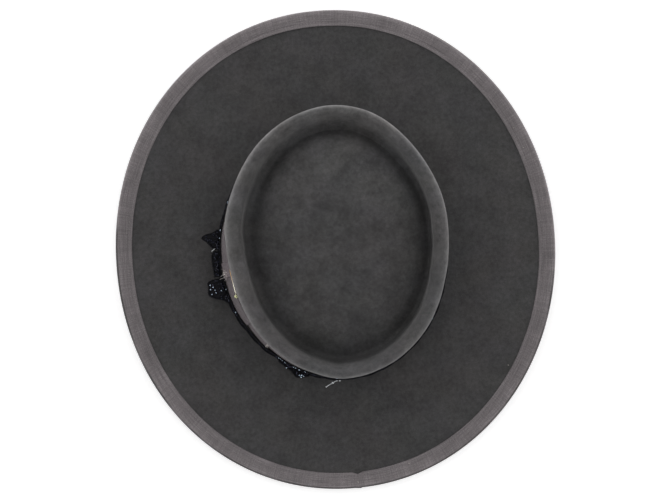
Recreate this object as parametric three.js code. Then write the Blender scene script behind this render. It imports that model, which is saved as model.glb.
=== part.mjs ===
// Felt hat: a wide oval brim with a ribbon bound edge, and a telescope crown, which has a rounded
// rim, a crease inside it and a low dome in the middle. A ribbon band with a flat bow, a lace trim
// with leaves and a hat pin go round the foot of the crown.
//
// Millimetres. +Z is up, +Y is the front of the hat and +X is the wearer's right. The origin is the
// centre of the brim, on the surface that the hat rests on.
//
// Most places are told by three numbers: the angle round the hat in degrees (0 is +X, 90 is the
// front, 180 is the side with the bow), the height, and the distance out from the inside of the
// crown wall.

import * as THREE from "three";

// Felt
const headLength = 199.6; // inside of the crown at the brim, front to back
const headWidth = 170.8;
const feltThickness = 2.2;
const crownHeight = 108; // from the resting surface to the top of the rim
const crownTaper = 3.7; // how far each side wall leans in, from the brim to the rim
const crownLean = 2.4; // how far the rim departs from a true oval at most
const leanHeight = 45; // height at which the wall has taken on the rim's shape
const breakRadius = 4; // hollow fillet where the crown meets the brim
const ringWidth = 12; // rounded rim round the top of the crown
const creaseDepth = 18; // from the top of the rim down to the crease inside it
const domeRise = 11; // from the crease up to the middle of the crown
const brimLength = 383; // over the binding, front to back
const brimWidth = 350;
const brimSquareness = 2.045; // 2 is a true ellipse
const brimFlat = 30; // level stretch of the brim next to the crown
const brimRiseSide = 8; // how far the edge curls up at the sides
const brimRiseEnd = 2.8; // and at the front and back

// Ribbon
const ribbonThickness = 1;
const bindingWidth = 11.2;
const bandFoot = 7; // height of the band's lower edge
const bandHeight = 36;
const bowInset = 1; // the bow is this much narrower than the band at each edge

// Lace trim
const laceThickness = 1;
const laceFoot = 3.8; // height of its lower edge
const laceHeight = 11.5;
const laceFlare = 1.4; // how far the lower edge stands out
const scallopCount = 40;
const scallopDepth = 1.6;
const leafReach = 20; // longest lace leaf, from the crown wall
const leafThickness = 1;
const leafHeight = 11.4; // top of a leaf where it meets the trim
const leafDroop = 5; // how far the tip of the longest leaf hangs below that

// Hat pin
const pinDiameter = 1;
const pinHeadDiameter = 3;

const clearance = 0.3; // between any two pieces

const brimSegments = 60;
const laceSegments = 120;

// How far the rim of the crown lies outside (+) or inside (-) a true oval, as a share of crownLean.
const rimShape = [
  { angle: 0, out: -0.1 },
  { angle: 15, out: 0.22 },
  { angle: 40, out: -0.15 },
  { angle: 75, out: 0.5 },
  { angle: 115, out: -0.12 },
  { angle: 150, out: -0.2 },
  { angle: 160, out: -0.1 },
  { angle: 170, out: 0 },
  { angle: 182, out: -0.75 },
  { angle: 192, out: -1.05 },
  { angle: 225, out: -1 },
  { angle: 250, out: -0.8 },
  { angle: 270, out: -0.1 },
  { angle: 320, out: 0.2 },
  { angle: 345, out: -0.25 },
];

// Inner skin of the rim and the crease, from the wall inwards. right, front, left and back are the
// distances in from the wall on those sides, as shares of ringWidth. down is the distance below the
// top of the rim, as a share of creaseDepth.
const rimSections = [
  { right: 0.0, front: 0.0, left: 0.0, back: 0.0, down: 0.42 },
  { right: 0.04, front: 0.03, left: 0.05, back: 0.03, down: 0.18 },
  { right: 0.14, front: 0.09, left: 0.16, back: 0.09, down: 0.05 },
  { right: 0.3, front: 0.16, left: 0.33, back: 0.18, down: 0.0 },
  { right: 0.46, front: 0.22, left: 0.51, back: 0.26, down: 0.03 },
  { right: 0.58, front: 0.3, left: 0.64, back: 0.35, down: 0.13 },
  { right: 0.62, front: 0.43, left: 0.71, back: 0.48, down: 0.32 },
  { right: 0.64, front: 0.58, left: 0.76, back: 0.64, down: 0.57 },
  { right: 0.69, front: 0.76, left: 0.86, back: 0.82, down: 0.8 },
  { right: 0.86, front: 1.0, left: 1.1, back: 1.02, down: 0.96 },
  { right: 1.12, front: 1.28, left: 1.5, back: 1.26, down: 1.0 },
];

// How full the dome is towards each side: a power of 2 is a plain bowl, a higher one has a flatter
// middle and steeper sides.
const domeFullness = [
  { angle: 0, power: 4.2 },
  { angle: 90, power: 9 },
  { angle: 180, power: 2.9 },
  { angle: 270, power: 3.6 },
];

// Rings of the dome, as shares of the way from its middle to the crease.
const domeSections = [0.95, 0.86, 0.7, 0.47, 0.22];

// Rings of the brim, as shares of the way from the crown to the edge.
const brimSections = [1, 0.88, 0.75, 0.6, 0.45];

// Rings of the crown wall, as shares of the way from the brim to the rim.
const wallSections = [0.22, 0.48, 0.75];

// Ribbon layers that the lace trim lies on: the band, then the bow's tail, its loops and its knot.
const trimSeat = [
  { angle: 160, layers: 1 },
  { angle: 165, layers: 3 },
  { angle: 180, layers: 3 },
  { angle: 183, layers: 4 },
  { angle: 192, layers: 4 },
  { angle: 195, layers: 3 },
  { angle: 216, layers: 3 },
  { angle: 219, layers: 2 },
  { angle: 228, layers: 2 },
  { angle: 231, layers: 1 },
];

// Outlines of the lace leaves, each along the trim. reach is the distance out from the crown wall, as
// a share of leafReach.
const leafOutlines = {
  lace_leaf_front: [
    { angle: 169.5, reach: 0.36 },
    { angle: 171, reach: 0.55 },
    { angle: 172, reach: 0.82 },
    { angle: 173.4, reach: 0.97 },
    { angle: 175, reach: 0.76 },
    { angle: 176.8, reach: 0.6 },
    { angle: 178, reach: 0.47 },
  ],
  lace_leaf_middle: [
    { angle: 178.6, reach: 0.5 },
    { angle: 180, reach: 0.59 },
    { angle: 183, reach: 0.61 },
    { angle: 186.5, reach: 0.6 },
    { angle: 189.4, reach: 0.62 },
  ],
  lace_leaf_rear: [
    { angle: 190.1, reach: 0.7 },
    { angle: 191, reach: 0.92 },
    { angle: 193, reach: 0.94 },
    { angle: 195.4, reach: 1.0 },
    { angle: 197.2, reach: 0.86 },
    { angle: 199.5, reach: 0.52 },
    { angle: 201.5, reach: 0.36 },
  ],
  lace_leaf_back: [
    { angle: 235, reach: 0.22 },
    { angle: 240, reach: 0.27 },
    { angle: 244.5, reach: 0.31 },
    { angle: 247.5, reach: 0.43 },
    { angle: 250, reach: 0.34 },
    { angle: 253, reach: 0.22 },
  ],
};

// Paths of the bow's strips. layer counts ribbon layers out from the band, to the strip's middle.
const bowPaths = {
  bow_front_loop: [
    { angle: 187.2, layer: 1 },
    { angle: 182, layer: 1 },
    { angle: 176, layer: 1 },
    { angle: 169, layer: 1 },
    { angle: 168.2, layer: 1.06 },
    { angle: 167.7, layer: 1.3 },
    { angle: 167.5, layer: 1.55 },
    { angle: 167.7, layer: 1.8 },
    { angle: 168.3, layer: 2 },
    { angle: 171, layer: 2 },
    { angle: 176, layer: 2 },
    { angle: 182, layer: 2 },
    { angle: 187.2, layer: 2 },
  ],
  bow_rear_loop: [
    { angle: 187.9, layer: 2 },
    { angle: 193, layer: 2 },
    { angle: 199, layer: 2 },
    { angle: 205, layer: 2 },
    { angle: 212.8, layer: 2 },
    { angle: 213.4, layer: 1.8 },
    { angle: 213.6, layer: 1.55 },
    { angle: 213.4, layer: 1.3 },
    { angle: 212.9, layer: 1.06 },
    { angle: 212, layer: 1 },
    { angle: 205, layer: 1 },
    { angle: 199, layer: 1 },
    { angle: 193, layer: 1 },
    { angle: 187.9, layer: 1 },
  ],
  bow_tail: [
    { angle: 214.3, layer: 1 },
    { angle: 218, layer: 1 },
    { angle: 222.5, layer: 1 },
    { angle: 227, layer: 1 },
  ],
};
const knotAngles = [184.2, 185.8, 187.4, 189, 190.6];

const pinStart = { angle: 188, out: 1.2 }; // out is measured from the outside of the crown wall
const pinEnd = { angle: 198, out: 1.3 };
const pinSlope = 4.4; // rise from the pin's start to its end

const layer = ribbonThickness + clearance;
const bandTop = bandFoot + bandHeight;
const wallOutside = feltThickness + clearance;
const edgeInset = ribbonThickness + clearance;
const underBreakRadius = breakRadius + feltThickness;

function material(color, roughness, metalness = 0) {
  return new THREE.MeshStandardMaterial({ color, roughness, metalness, side: THREE.DoubleSide });
}

const felt = material(0x3d3d3e, 0.95);
const grosgrain = material(0x656062, 0.75);
const bowRibbon = material(0x5a5657, 0.7);
const lace = material(0x18181c, 0.85);
const gold = material(0xc8a24a, 0.3, 1);
const glass = material(0xb9b83a, 0.1);

const hat = new THREE.Group();

function addPiece(name, geometry, finish) {
  const mesh = new THREE.Mesh(geometry, finish);
  mesh.name = name;
  hat.add(mesh);
}

const radians = (degrees) => THREE.MathUtils.degToRad(degrees);

// Value of a table's column at an angle, smooth from row to row and closed round the hat.
function aroundHat(table, column, angle) {
  const turn = ((angle % 360) + 360) % 360;
  const next = table.findIndex((row) => row.angle > turn);
  const after = next < 0 ? table[0] : table[next];
  const before = next <= 0 ? table[table.length - 1] : table[next - 1];
  const span = (after.angle - before.angle + 360) % 360;
  const part = ((turn - before.angle + 360) % 360) / span;
  return THREE.MathUtils.lerp(before[column], after[column], part * part * (3 - 2 * part));
}

// Value of a table's column at an angle, straight from row to row and level past both ends.
function alongTable(table, column, angle) {
  const next = table.findIndex((row) => row.angle > angle);
  if (next === 0) return table[0][column];
  if (next < 0) return table[table.length - 1][column];
  const before = table[next - 1];
  const part = (angle - before.angle) / (table[next].angle - before.angle);
  return THREE.MathUtils.lerp(before[column], table[next][column], part);
}

// Point beside the crown wall: out is the distance out from its inside, square to the oval.
function wallPoint(angle, height, out) {
  const turn = radians(angle);
  const rise = height / crownHeight;
  const halfWidth = headWidth / 2 - crownTaper * rise;
  const halfLength = headLength / 2;
  const leanLeft = 1 - Math.min(height / leanHeight, 1);
  const lean = crownLean * aroundHat(rimShape, "out", angle) * (1 - leanLeft ** 2);
  const square = new THREE.Vector2(Math.cos(turn) / halfWidth, Math.sin(turn) / halfLength).normalize();
  return new THREE.Vector3(
    halfWidth * Math.cos(turn) + square.x * (out + lean),
    halfLength * Math.sin(turn) + square.y * (out + lean),
    height,
  );
}

// Point on the underside of the brim. part runs from 0 at the crown to 1 at the felt's cut edge.
function brimPoint(angle, part) {
  const turn = radians(angle);
  const root = 2 / brimSquareness;
  const across = Math.sign(Math.cos(turn)) * Math.abs(Math.cos(turn)) ** root;
  const along = Math.sign(Math.sin(turn)) * Math.abs(Math.sin(turn)) ** root;
  const edge = new THREE.Vector3(
    (brimWidth / 2 - edgeInset) * across,
    (brimLength / 2 - edgeInset) * along,
    0,
  );
  const foot = wallPoint(angle, 0, underBreakRadius);
  const point = foot.clone().lerp(edge, part);
  const flatPart = brimFlat / edge.distanceTo(foot);
  const curl = Math.max(0, (part - flatPart) / (1 - flatPart));
  const rise = THREE.MathUtils.lerp(brimRiseEnd, brimRiseSide, Math.cos(turn) ** 2);
  point.z = rise * curl ** 2;
  return point;
}

// Point near the brim's edge: inward from the felt's cut edge, lifted square off the underside.
function edgePoint(angle, inward, lift) {
  const width = brimPoint(angle, 1).distanceTo(brimPoint(angle, 0));
  const part = 1 - inward / width;
  const turnStep = 0.5; // degrees
  const partStep = 0.006;
  const along = brimPoint(angle + turnStep, part).sub(brimPoint(angle - turnStep, part));
  const towardsCrown = brimPoint(angle, part - partStep).sub(brimPoint(angle, part + partStep));
  const square = along.cross(towardsCrown).normalize();
  return brimPoint(angle, part).addScaledVector(square, lift);
}

function geometryFrom(points, faces) {
  const geometry = new THREE.BufferGeometry();
  const numbers = points.flatMap((point) => point.toArray());
  geometry.setAttribute("position", new THREE.Float32BufferAttribute(numbers, 3));
  geometry.setIndex(faces.flat());
  geometry.computeVertexNormals();
  return geometry;
}

// Solid through a row of closed sections. Each section's points run anticlockwise as (out, up), and
// the sections follow each other with rising angle. A closed one joins its last section to its first.
function solidThrough(sections, isClosed) {
  const count = sections.length;
  const size = sections[0].length;
  const at = (i, j) => (i % count) * size + (j % size);
  const faces = [];
  for (let i = 0; i < (isClosed ? count : count - 1); i += 1) {
    for (let j = 0; j < size; j += 1) {
      faces.push([at(i, j), at(i + 1, j), at(i + 1, j + 1)]);
      faces.push([at(i, j), at(i + 1, j + 1), at(i, j + 1)]);
    }
  }
  if (!isClosed) {
    faces.push(...endFaces(sections[0], 0, false));
    faces.push(...endFaces(sections[count - 1], (count - 1) * size, true));
  }
  return geometryFrom(sections.flat(), faces);
}

// Flat end of a solid, cut into triangles in the plane that the section lies in.
function endFaces(section, first, isReversed) {
  const up = new THREE.Vector3(0, 0, 1);
  const out = new THREE.Vector3();
  section.forEach((point, j) => {
    const next = section[(j + 1) % section.length];
    const edge = next.clone().sub(point).setZ(0);
    if (edge.length() > out.length()) out.copy(edge);
  });
  out.normalize();
  let flat = section.map((point) => new THREE.Vector2(point.dot(out), point.dot(up)));
  if (THREE.ShapeUtils.area(flat) < 0) flat = flat.map((point) => new THREE.Vector2(-point.x, point.y));
  return THREE.ShapeUtils.triangulateShape(flat, []).map(([a, b, c]) =>
    isReversed ? [first + c, first + b, first + a] : [first + a, first + b, first + c],
  );
}

// Felt: one sheet, whose underside runs from the brim's edge to the middle of the crown.
function feltUnderside(angle) {
  const turn = radians(angle);
  const rings = brimSections.map((part) => brimPoint(angle, part));
  const width = brimPoint(angle, 1).distanceTo(brimPoint(angle, 0));
  rings.push(brimPoint(angle, brimFlat / width), brimPoint(angle, 0));

  const breakSteps = 4;
  for (let i = 1; i <= breakSteps; i += 1) {
    const bend = (i / breakSteps) * (Math.PI / 2);
    const height = underBreakRadius * (1 - Math.cos(bend));
    rings.push(wallPoint(angle, height, underBreakRadius * (1 - Math.sin(bend))));
  }

  const rimTop = crownHeight - feltThickness;
  const wallTop = rimTop - creaseDepth * rimSections[0].down;
  for (const part of wallSections) {
    rings.push(wallPoint(angle, THREE.MathUtils.lerp(underBreakRadius, wallTop, part), 0));
  }
  for (const row of rimSections) {
    const side = Math.cos(turn) > 0 ? row.right : row.left;
    const end = Math.sin(turn) > 0 ? row.front : row.back;
    const inward = THREE.MathUtils.lerp(side, end, Math.sin(turn) ** 2) * ringWidth;
    rings.push(wallPoint(angle, rimTop - creaseDepth * row.down, -inward));
  }
  const crease = rings[rings.length - 1];
  const power = aroundHat(domeFullness, "power", angle);
  for (const part of domeSections) {
    const height = crease.z + domeRise * (1 - part ** power);
    rings.push(new THREE.Vector3(crease.x * part, crease.y * part, height));
  }
  return rings;
}

function feltBody() {
  const columns = [];
  for (let j = 0; j < brimSegments; j += 1) columns.push(feltUnderside((j * 360) / brimSegments));
  const rings = columns[0].length;
  const under = (i, j) => columns[(j + brimSegments) % brimSegments][i];

  const squareTo = (i, j) => {
    const along = under(i, j + 1).clone().sub(under(i, j - 1)).normalize();
    const from = i > 0 ? under(i, j).clone().sub(under(i - 1, j)).normalize() : new THREE.Vector3();
    const to = i < rings - 1 ? under(i + 1, j).clone().sub(under(i, j)).normalize() : new THREE.Vector3();
    return along.cross(from.add(to)).normalize();
  };
  const middleUnder = new THREE.Vector3(0, 0, crownHeight - feltThickness - creaseDepth + domeRise);
  const middleTop = middleUnder.clone().setZ(middleUnder.z + feltThickness);

  const points = [];
  for (let i = 0; i < rings; i += 1) for (let j = 0; j < brimSegments; j += 1) points.push(under(i, j));
  for (let i = 0; i < rings; i += 1) {
    for (let j = 0; j < brimSegments; j += 1) {
      points.push(under(i, j).clone().addScaledVector(squareTo(i, j), feltThickness));
    }
  }
  const underMiddle = points.push(middleUnder) - 1;
  const topMiddle = points.push(middleTop) - 1;

  const low = (i, j) => i * brimSegments + (j % brimSegments);
  const high = (i, j) => rings * brimSegments + low(i, j);
  const faces = [];
  for (let j = 0; j < brimSegments; j += 1) {
    for (let i = 0; i < rings - 1; i += 1) {
      faces.push([high(i, j), high(i, j + 1), high(i + 1, j + 1)]);
      faces.push([high(i, j), high(i + 1, j + 1), high(i + 1, j)]);
      faces.push([low(i, j), low(i + 1, j + 1), low(i, j + 1)]);
      faces.push([low(i, j), low(i + 1, j), low(i + 1, j + 1)]);
    }
    faces.push([low(0, j), low(0, j + 1), high(0, j + 1)]);
    faces.push([low(0, j), high(0, j + 1), high(0, j)]);
    faces.push([high(rings - 1, j), high(rings - 1, j + 1), topMiddle]);
    faces.push([low(rings - 1, j), underMiddle, low(rings - 1, j + 1)]);
  }
  return geometryFrom(points, faces);
}

// Binding: a ribbon folded round the cut edge of the brim.
function brimBinding() {
  const inside = clearance;
  const outside = clearance + ribbonThickness;
  const shoulder = outside * 0.8;
  const section = [
    { inward: bindingWidth, lift: -outside },
    { inward: 0, lift: -outside },
    { inward: -shoulder, lift: -outside * 0.6 },
    { inward: -outside, lift: feltThickness / 2 },
    { inward: -shoulder, lift: feltThickness + outside * 0.6 },
    { inward: 0, lift: feltThickness + outside },
    { inward: bindingWidth, lift: feltThickness + outside },
    { inward: bindingWidth, lift: feltThickness + inside },
    { inward: -inside, lift: feltThickness + inside },
    { inward: -inside, lift: -inside },
    { inward: bindingWidth, lift: -inside },
  ];
  const sections = [];
  for (let j = 0; j < brimSegments; j += 1) {
    const angle = (j * 360) / brimSegments;
    sections.push(section.map((corner) => edgePoint(angle, corner.inward, corner.lift)));
  }
  return solidThrough(sections, true);
}

// Hat band: a ribbon round the foot of the crown.
function hatBand() {
  const sections = [];
  for (let j = 0; j < brimSegments; j += 1) {
    const angle = (j * 360) / brimSegments;
    sections.push([
      wallPoint(angle, bandFoot, wallOutside),
      wallPoint(angle, bandFoot, wallOutside + ribbonThickness),
      wallPoint(angle, bandTop, wallOutside + ribbonThickness),
      wallPoint(angle, bandTop, wallOutside),
    ]);
  }
  return solidThrough(sections, true);
}

// A strip of the bow, on edge, along its path round the crown.
function bowStrip(path) {
  const low = bandFoot + bowInset;
  const high = bandTop - bowInset;
  const middle = (row, height) => {
    const out = wallOutside + ribbonThickness / 2 + row.layer * layer;
    return wallPoint(row.angle, height, out);
  };
  const sections = path.map((row, i) => {
    const before = path[Math.max(i - 1, 0)];
    const after = path[Math.min(i + 1, path.length - 1)];
    const corner = (height, side) => {
      const along = middle(after, height).sub(middle(before, height)).normalize();
      const square = along.cross(new THREE.Vector3(0, 0, 1)).normalize();
      return middle(row, height).addScaledVector(square, (side * ribbonThickness) / 2);
    };
    return [corner(low, -1), corner(low, 1), corner(high, 1), corner(high, -1)];
  });
  return solidThrough(sections, false);
}

// Knot: a short strip over the middle of the bow, turned in over the bow's two edges.
function bowKnot() {
  const face = wallOutside + 3 * layer;
  const lip = wallOutside + layer;
  const low = bandFoot + bowInset - clearance;
  const high = bandTop - bowInset + clearance;
  const section = [
    { out: lip, height: low - ribbonThickness },
    { out: face + ribbonThickness, height: low - ribbonThickness },
    { out: face + ribbonThickness, height: high + ribbonThickness },
    { out: lip, height: high + ribbonThickness },
    { out: lip, height: high },
    { out: face, height: high },
    { out: face, height: low },
    { out: lip, height: low },
  ];
  const sections = knotAngles.map((angle) =>
    section.map((corner) => wallPoint(angle, corner.height, corner.out)),
  );
  return solidThrough(sections, false);
}

// Distance out from the inside of the crown wall to the inside of the lace trim.
function trimInside(angle) {
  return wallOutside + alongTable(trimSeat, "layers", angle) * layer;
}

// Lace trim: a scalloped strip round the foot of the crown, over the band and the bow.
function laceTrim() {
  const sections = [];
  const top = laceFoot + laceHeight;
  const waist = laceFoot + laceHeight / 3;
  for (let j = 0; j < laceSegments; j += 1) {
    const angle = (j * 360) / laceSegments;
    const scallop = (1 - Math.cos(radians(angle) * scallopCount)) / 2;
    const foot = laceFoot + scallopDepth * (1 - scallop);
    const flare = laceFlare * (0.5 + scallop / 2);
    const inside = trimInside(angle);
    sections.push([
      wallPoint(angle, foot, inside + flare),
      wallPoint(angle, foot, inside + flare + laceThickness),
      wallPoint(angle, waist, inside + laceThickness),
      wallPoint(angle, top, inside + laceThickness),
      wallPoint(angle, top, inside),
      wallPoint(angle, waist, inside),
    ]);
  }
  return solidThrough(sections, true);
}

// A lace leaf: a thin flap that stands out from the trim and droops towards its tip.
function laceLeaf(outline) {
  const sections = outline.map((row) => {
    const root = trimInside(row.angle) + laceThickness + clearance;
    const tip = feltThickness + row.reach * leafReach;
    const top = (part) => {
      const out = THREE.MathUtils.lerp(root, tip, part);
      const share = (out - root) / leafReach;
      return { out, height: leafHeight - leafDroop * share ** 2 };
    };
    const parts = [0, 0.5, 1].map(top);
    const upper = parts.map((place) => wallPoint(row.angle, place.height, place.out));
    const lower = parts.map((place) => wallPoint(row.angle, place.height - leafThickness, place.out));
    return [...lower, ...upper.reverse()];
  });
  return solidThrough(sections, false);
}

// Hat pin: it starts on the knot and slopes up towards the back of the hat.
const pinRadius = pinDiameter / 2;
const pinHeight = bandTop - bowInset + clearance + ribbonThickness + clearance + pinRadius;
const pinFoot = wallPoint(pinStart.angle, pinHeight, feltThickness + pinStart.out);
const pinTop = wallPoint(pinEnd.angle, pinHeight + pinSlope, feltThickness + pinEnd.out);
const pinDirection = pinTop.clone().sub(pinFoot).normalize();

function pinShank() {
  const length = pinTop.distanceTo(pinFoot);
  const geometry = new THREE.CylinderGeometry(pinRadius, pinRadius, length, 8);
  const turn = new THREE.Quaternion().setFromUnitVectors(new THREE.Vector3(0, 1, 0), pinDirection);
  geometry.applyQuaternion(turn);
  const middle = pinFoot.clone().lerp(pinTop, 0.5);
  return geometry.translate(middle.x, middle.y, middle.z);
}

function pinHead() {
  const radius = pinHeadDiameter / 2;
  const out = new THREE.Vector3(pinTop.x, pinTop.y, 0).normalize();
  const centre = pinTop.clone().addScaledVector(pinDirection, radius + clearance);
  centre.addScaledVector(out, Math.max(0, radius + clearance - pinEnd.out));
  return new THREE.SphereGeometry(radius, 12, 8).translate(centre.x, centre.y, centre.z);
}

addPiece("felt_body", feltBody(), felt);
addPiece("brim_binding", brimBinding(), grosgrain);
addPiece("hat_band", hatBand(), bowRibbon);
for (const [name, path] of Object.entries(bowPaths)) addPiece(name, bowStrip(path), bowRibbon);
addPiece("bow_knot", bowKnot(), bowRibbon);
addPiece("lace_trim", laceTrim(), lace);
for (const [name, outline] of Object.entries(leafOutlines)) addPiece(name, laceLeaf(outline), lace);
addPiece("pin_shank", pinShank(), gold);
addPiece("pin_head", pinHead(), glass);

export default hat;
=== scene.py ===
"""Felt hat: the finish of every surface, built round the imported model.

Shapes are worked out in millimetres and turned into metres when a mesh is made. As in the model, +Z is
up, +Y is the front of the hat, +X the wearer's right, and most places are told by three numbers: the
angle round the hat in degrees (0 is +X, 90 is the front, 180 is the side with the bow), the height,
and the distance out from the inside of the crown wall.
"""

import bpy
import numpy as np
from mathutils import Matrix, Vector


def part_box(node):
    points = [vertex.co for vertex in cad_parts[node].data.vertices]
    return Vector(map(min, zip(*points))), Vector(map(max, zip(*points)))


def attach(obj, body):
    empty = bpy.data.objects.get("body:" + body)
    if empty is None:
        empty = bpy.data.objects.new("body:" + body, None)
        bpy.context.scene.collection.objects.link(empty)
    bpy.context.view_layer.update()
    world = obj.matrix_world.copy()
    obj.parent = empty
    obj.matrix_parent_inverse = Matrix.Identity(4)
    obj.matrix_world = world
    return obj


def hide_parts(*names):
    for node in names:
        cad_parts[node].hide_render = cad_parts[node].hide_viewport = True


MM = 0.001

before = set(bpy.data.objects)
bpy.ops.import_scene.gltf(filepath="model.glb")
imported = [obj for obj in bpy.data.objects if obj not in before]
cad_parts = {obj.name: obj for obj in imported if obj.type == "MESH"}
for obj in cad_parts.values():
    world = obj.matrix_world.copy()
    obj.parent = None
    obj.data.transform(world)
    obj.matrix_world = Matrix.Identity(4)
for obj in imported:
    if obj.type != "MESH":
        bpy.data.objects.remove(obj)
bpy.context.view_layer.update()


def size_of(node):
    """Width, length and height of a node of the model, in millimetres."""
    low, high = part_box(node)
    return (high - low) / MM


# Sizes of the model. The overall ones come from its nodes.
BRIM_WIDTH, BRIM_LENGTH, _ = size_of("brim_binding")
CROWN_HEIGHT = size_of("felt_body").z
BAND_HEIGHT = size_of("hat_band").z
BAND_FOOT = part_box("hat_band")[0].z / MM
HEAD_LENGTH = 199.6
HEAD_WIDTH = 170.8
FELT = 2.2
CROWN_TAPER = 3.7
CROWN_LEAN = 2.4
BREAK_RADIUS = 4
RING_WIDTH = 12
CREASE_DEPTH = 18
DOME_RISE = 11
BRIM_SQUARENESS = 2.045
BRIM_FLAT = 30
BRIM_RISE_SIDE = 8
BRIM_RISE_END = 2.8
RIBBON = 1
BINDING_WIDTH = 11.2
BOW_INSET = 1
CLEARANCE = 0.3

LAYER = RIBBON + CLEARANCE
WALL_OUTSIDE = FELT + CLEARANCE
EDGE_INSET = RIBBON + CLEARANCE
UNDER_BREAK_RADIUS = BREAK_RADIUS + FELT
BAND_TOP = BAND_FOOT + BAND_HEIGHT
RIM_TOP = CROWN_HEIGHT - FELT

# Angle, and how far the rim lies outside (+) or inside (-) a true oval, as a share of CROWN_LEAN.
RIM_SHAPE = [
    (0, -0.1), (15, 0.22), (40, -0.15), (75, 0.5), (115, -0.12), (150, -0.2), (160, -0.1), (170, 0),
    (182, -0.75), (192, -1.05), (225, -1), (250, -0.8), (270, -0.1), (320, 0.2), (345, -0.25),
]
LEAN_HEIGHT = 45  # height at which the wall has taken on the shape of the rim
TUCK, TUCK_REACH = 0.25, 15  # the tied ribbons press that shape in further at their upper edge

# Inner skin of the rim and the crease: in from the wall on the right, at the front, on the left and at
# the back, as shares of RING_WIDTH, and down from the top of the rim as a share of CREASE_DEPTH.
RIM_SECTIONS = [
    (0.0, 0.0, 0.0, 0.0, 0.42),
    (0.04, 0.03, 0.05, 0.03, 0.18),
    (0.14, 0.09, 0.16, 0.09, 0.05),
    (0.3, 0.16, 0.33, 0.18, 0.0),
    (0.46, 0.22, 0.51, 0.26, 0.03),
    (0.58, 0.3, 0.64, 0.35, 0.13),
    (0.62, 0.43, 0.71, 0.48, 0.32),
    (0.64, 0.58, 0.76, 0.64, 0.57),
    (0.69, 0.76, 0.86, 0.82, 0.8),
    (0.86, 1.0, 1.1, 1.02, 0.96),
    (1.12, 1.28, 1.5, 1.26, 1.0),
]
# Angle, and how full the dome is towards that side: 2 is a plain bowl, and more has a flatter middle.
DOME_FULLNESS = [(0, 4.8), (90, 10), (180, 2.8), (270, 3.6)]
WALL_SECTIONS = [0.22, 0.48, 0.75]
DOME_SECTIONS = [0.88, 0.7, 0.47, 0.22]


# Camera: high above the hat and a little behind and left of it, turned so that the front of the hat
# points slightly left of the top of the picture.
CAMERA_DISTANCE = 1.5
CAMERA_LENS = 100.75
CAMERA_SENSOR = 36
CAMERA_LEFT = 0.0106
CAMERA_BEHIND = 0.0453
CAMERA_ROLL = np.radians(3.3)
PICTURE_WIDTH, PICTURE_HEIGHT = 670, 500
HAT_CENTRE_PIXEL = (335.6, 248.3)


def make_camera():
    back = Vector((-CAMERA_LEFT, -CAMERA_BEHIND, 1)).normalized()
    level_up = (Vector((0, 1, 0)) - back * back.y).normalized()
    level_right = (-back).cross(level_up)
    up = level_up * np.cos(CAMERA_ROLL) + level_right * np.sin(CAMERA_ROLL)
    right = (-back).cross(up)
    data = bpy.data.cameras.new("camera")
    data.sensor_width = CAMERA_SENSOR
    data.lens = CAMERA_LENS
    data.shift_x = (PICTURE_WIDTH / 2 - HAT_CENTRE_PIXEL[0]) / PICTURE_WIDTH
    data.shift_y = (HAT_CENTRE_PIXEL[1] - PICTURE_HEIGHT / 2) / PICTURE_WIDTH
    data.clip_start, data.clip_end = 0.05, 50
    camera = bpy.data.objects.new("camera", data)
    camera.matrix_world = Matrix.Translation(back * CAMERA_DISTANCE) @ Matrix(
        (right, up, back)
    ).transposed().to_4x4()
    bpy.context.scene.collection.objects.link(camera)
    bpy.context.scene.camera = camera


# Stage: a white floor in a white studio, whose walls are brighter than its ceiling, and brightest
# in front of the hat.
FLOOR_SIZE = 12
FLOOR_GAP = 0.0001
PAPER_COLOR = (0.95, 0.95, 0.95)
PAPER_GLOW = 0.42
WALL_LIGHT = 1.65
CEILING_LIGHT = 0.3
CEILING_STARTS, CEILING_FULL = 0.4, 0.85  # sines of the height above the horizon
FRONT_BIAS = 0.3


def make_stage():
    scene = bpy.context.scene
    scene.view_settings.view_transform = "Standard"
    scene.view_settings.look = "None"
    world = bpy.data.worlds.new("white_studio")
    world.use_nodes = True
    nodes = Nodes(world)
    direction = nodes.add("ShaderNodeTexCoord").outputs["Generated"]
    height = nodes.part(direction, "Z")
    ceiling = nodes.span(height, CEILING_STARTS, CEILING_FULL, WALL_LIGHT, CEILING_LIGHT)
    front = nodes.span(nodes.part(direction, "Y"), -1, 1, 1 - FRONT_BIAS, 1 + FRONT_BIAS)
    sky = world.node_tree.nodes["Background"]
    sky.inputs["Color"].default_value = (1, 1, 1, 1)
    nodes.join(nodes.product(ceiling, front), sky, "Strength")
    scene.world = world

    half = FLOOR_SIZE / 2
    mesh = bpy.data.meshes.new("floor")
    low = -FLOOR_GAP
    corners = [(-half, -half, low), (half, -half, low), (half, half, low), (-half, half, low)]
    mesh.from_pydata(corners, [], [(0, 1, 2, 3)])
    floor = bpy.data.objects.new("floor", mesh)
    scene.collection.objects.link(floor)
    glow = {"Emission Color": (1, 1, 1, 1), "Emission Strength": PAPER_GLOW, "Specular IOR Level": 0.1}
    mesh.materials.append(new_material("white_paper", PAPER_COLOR, 0.9, glow)[0])


# Materials

def new_material(name, color, roughness, settings=None):
    material = bpy.data.materials.new(name)
    material.use_nodes = True
    shader = material.node_tree.nodes["Principled BSDF"]
    settings = {"Base Color": (*color, 1), "Roughness": roughness, **(settings or {})}
    for socket, value in settings.items():
        shader.inputs[socket].default_value = value
    return material, shader


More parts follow.
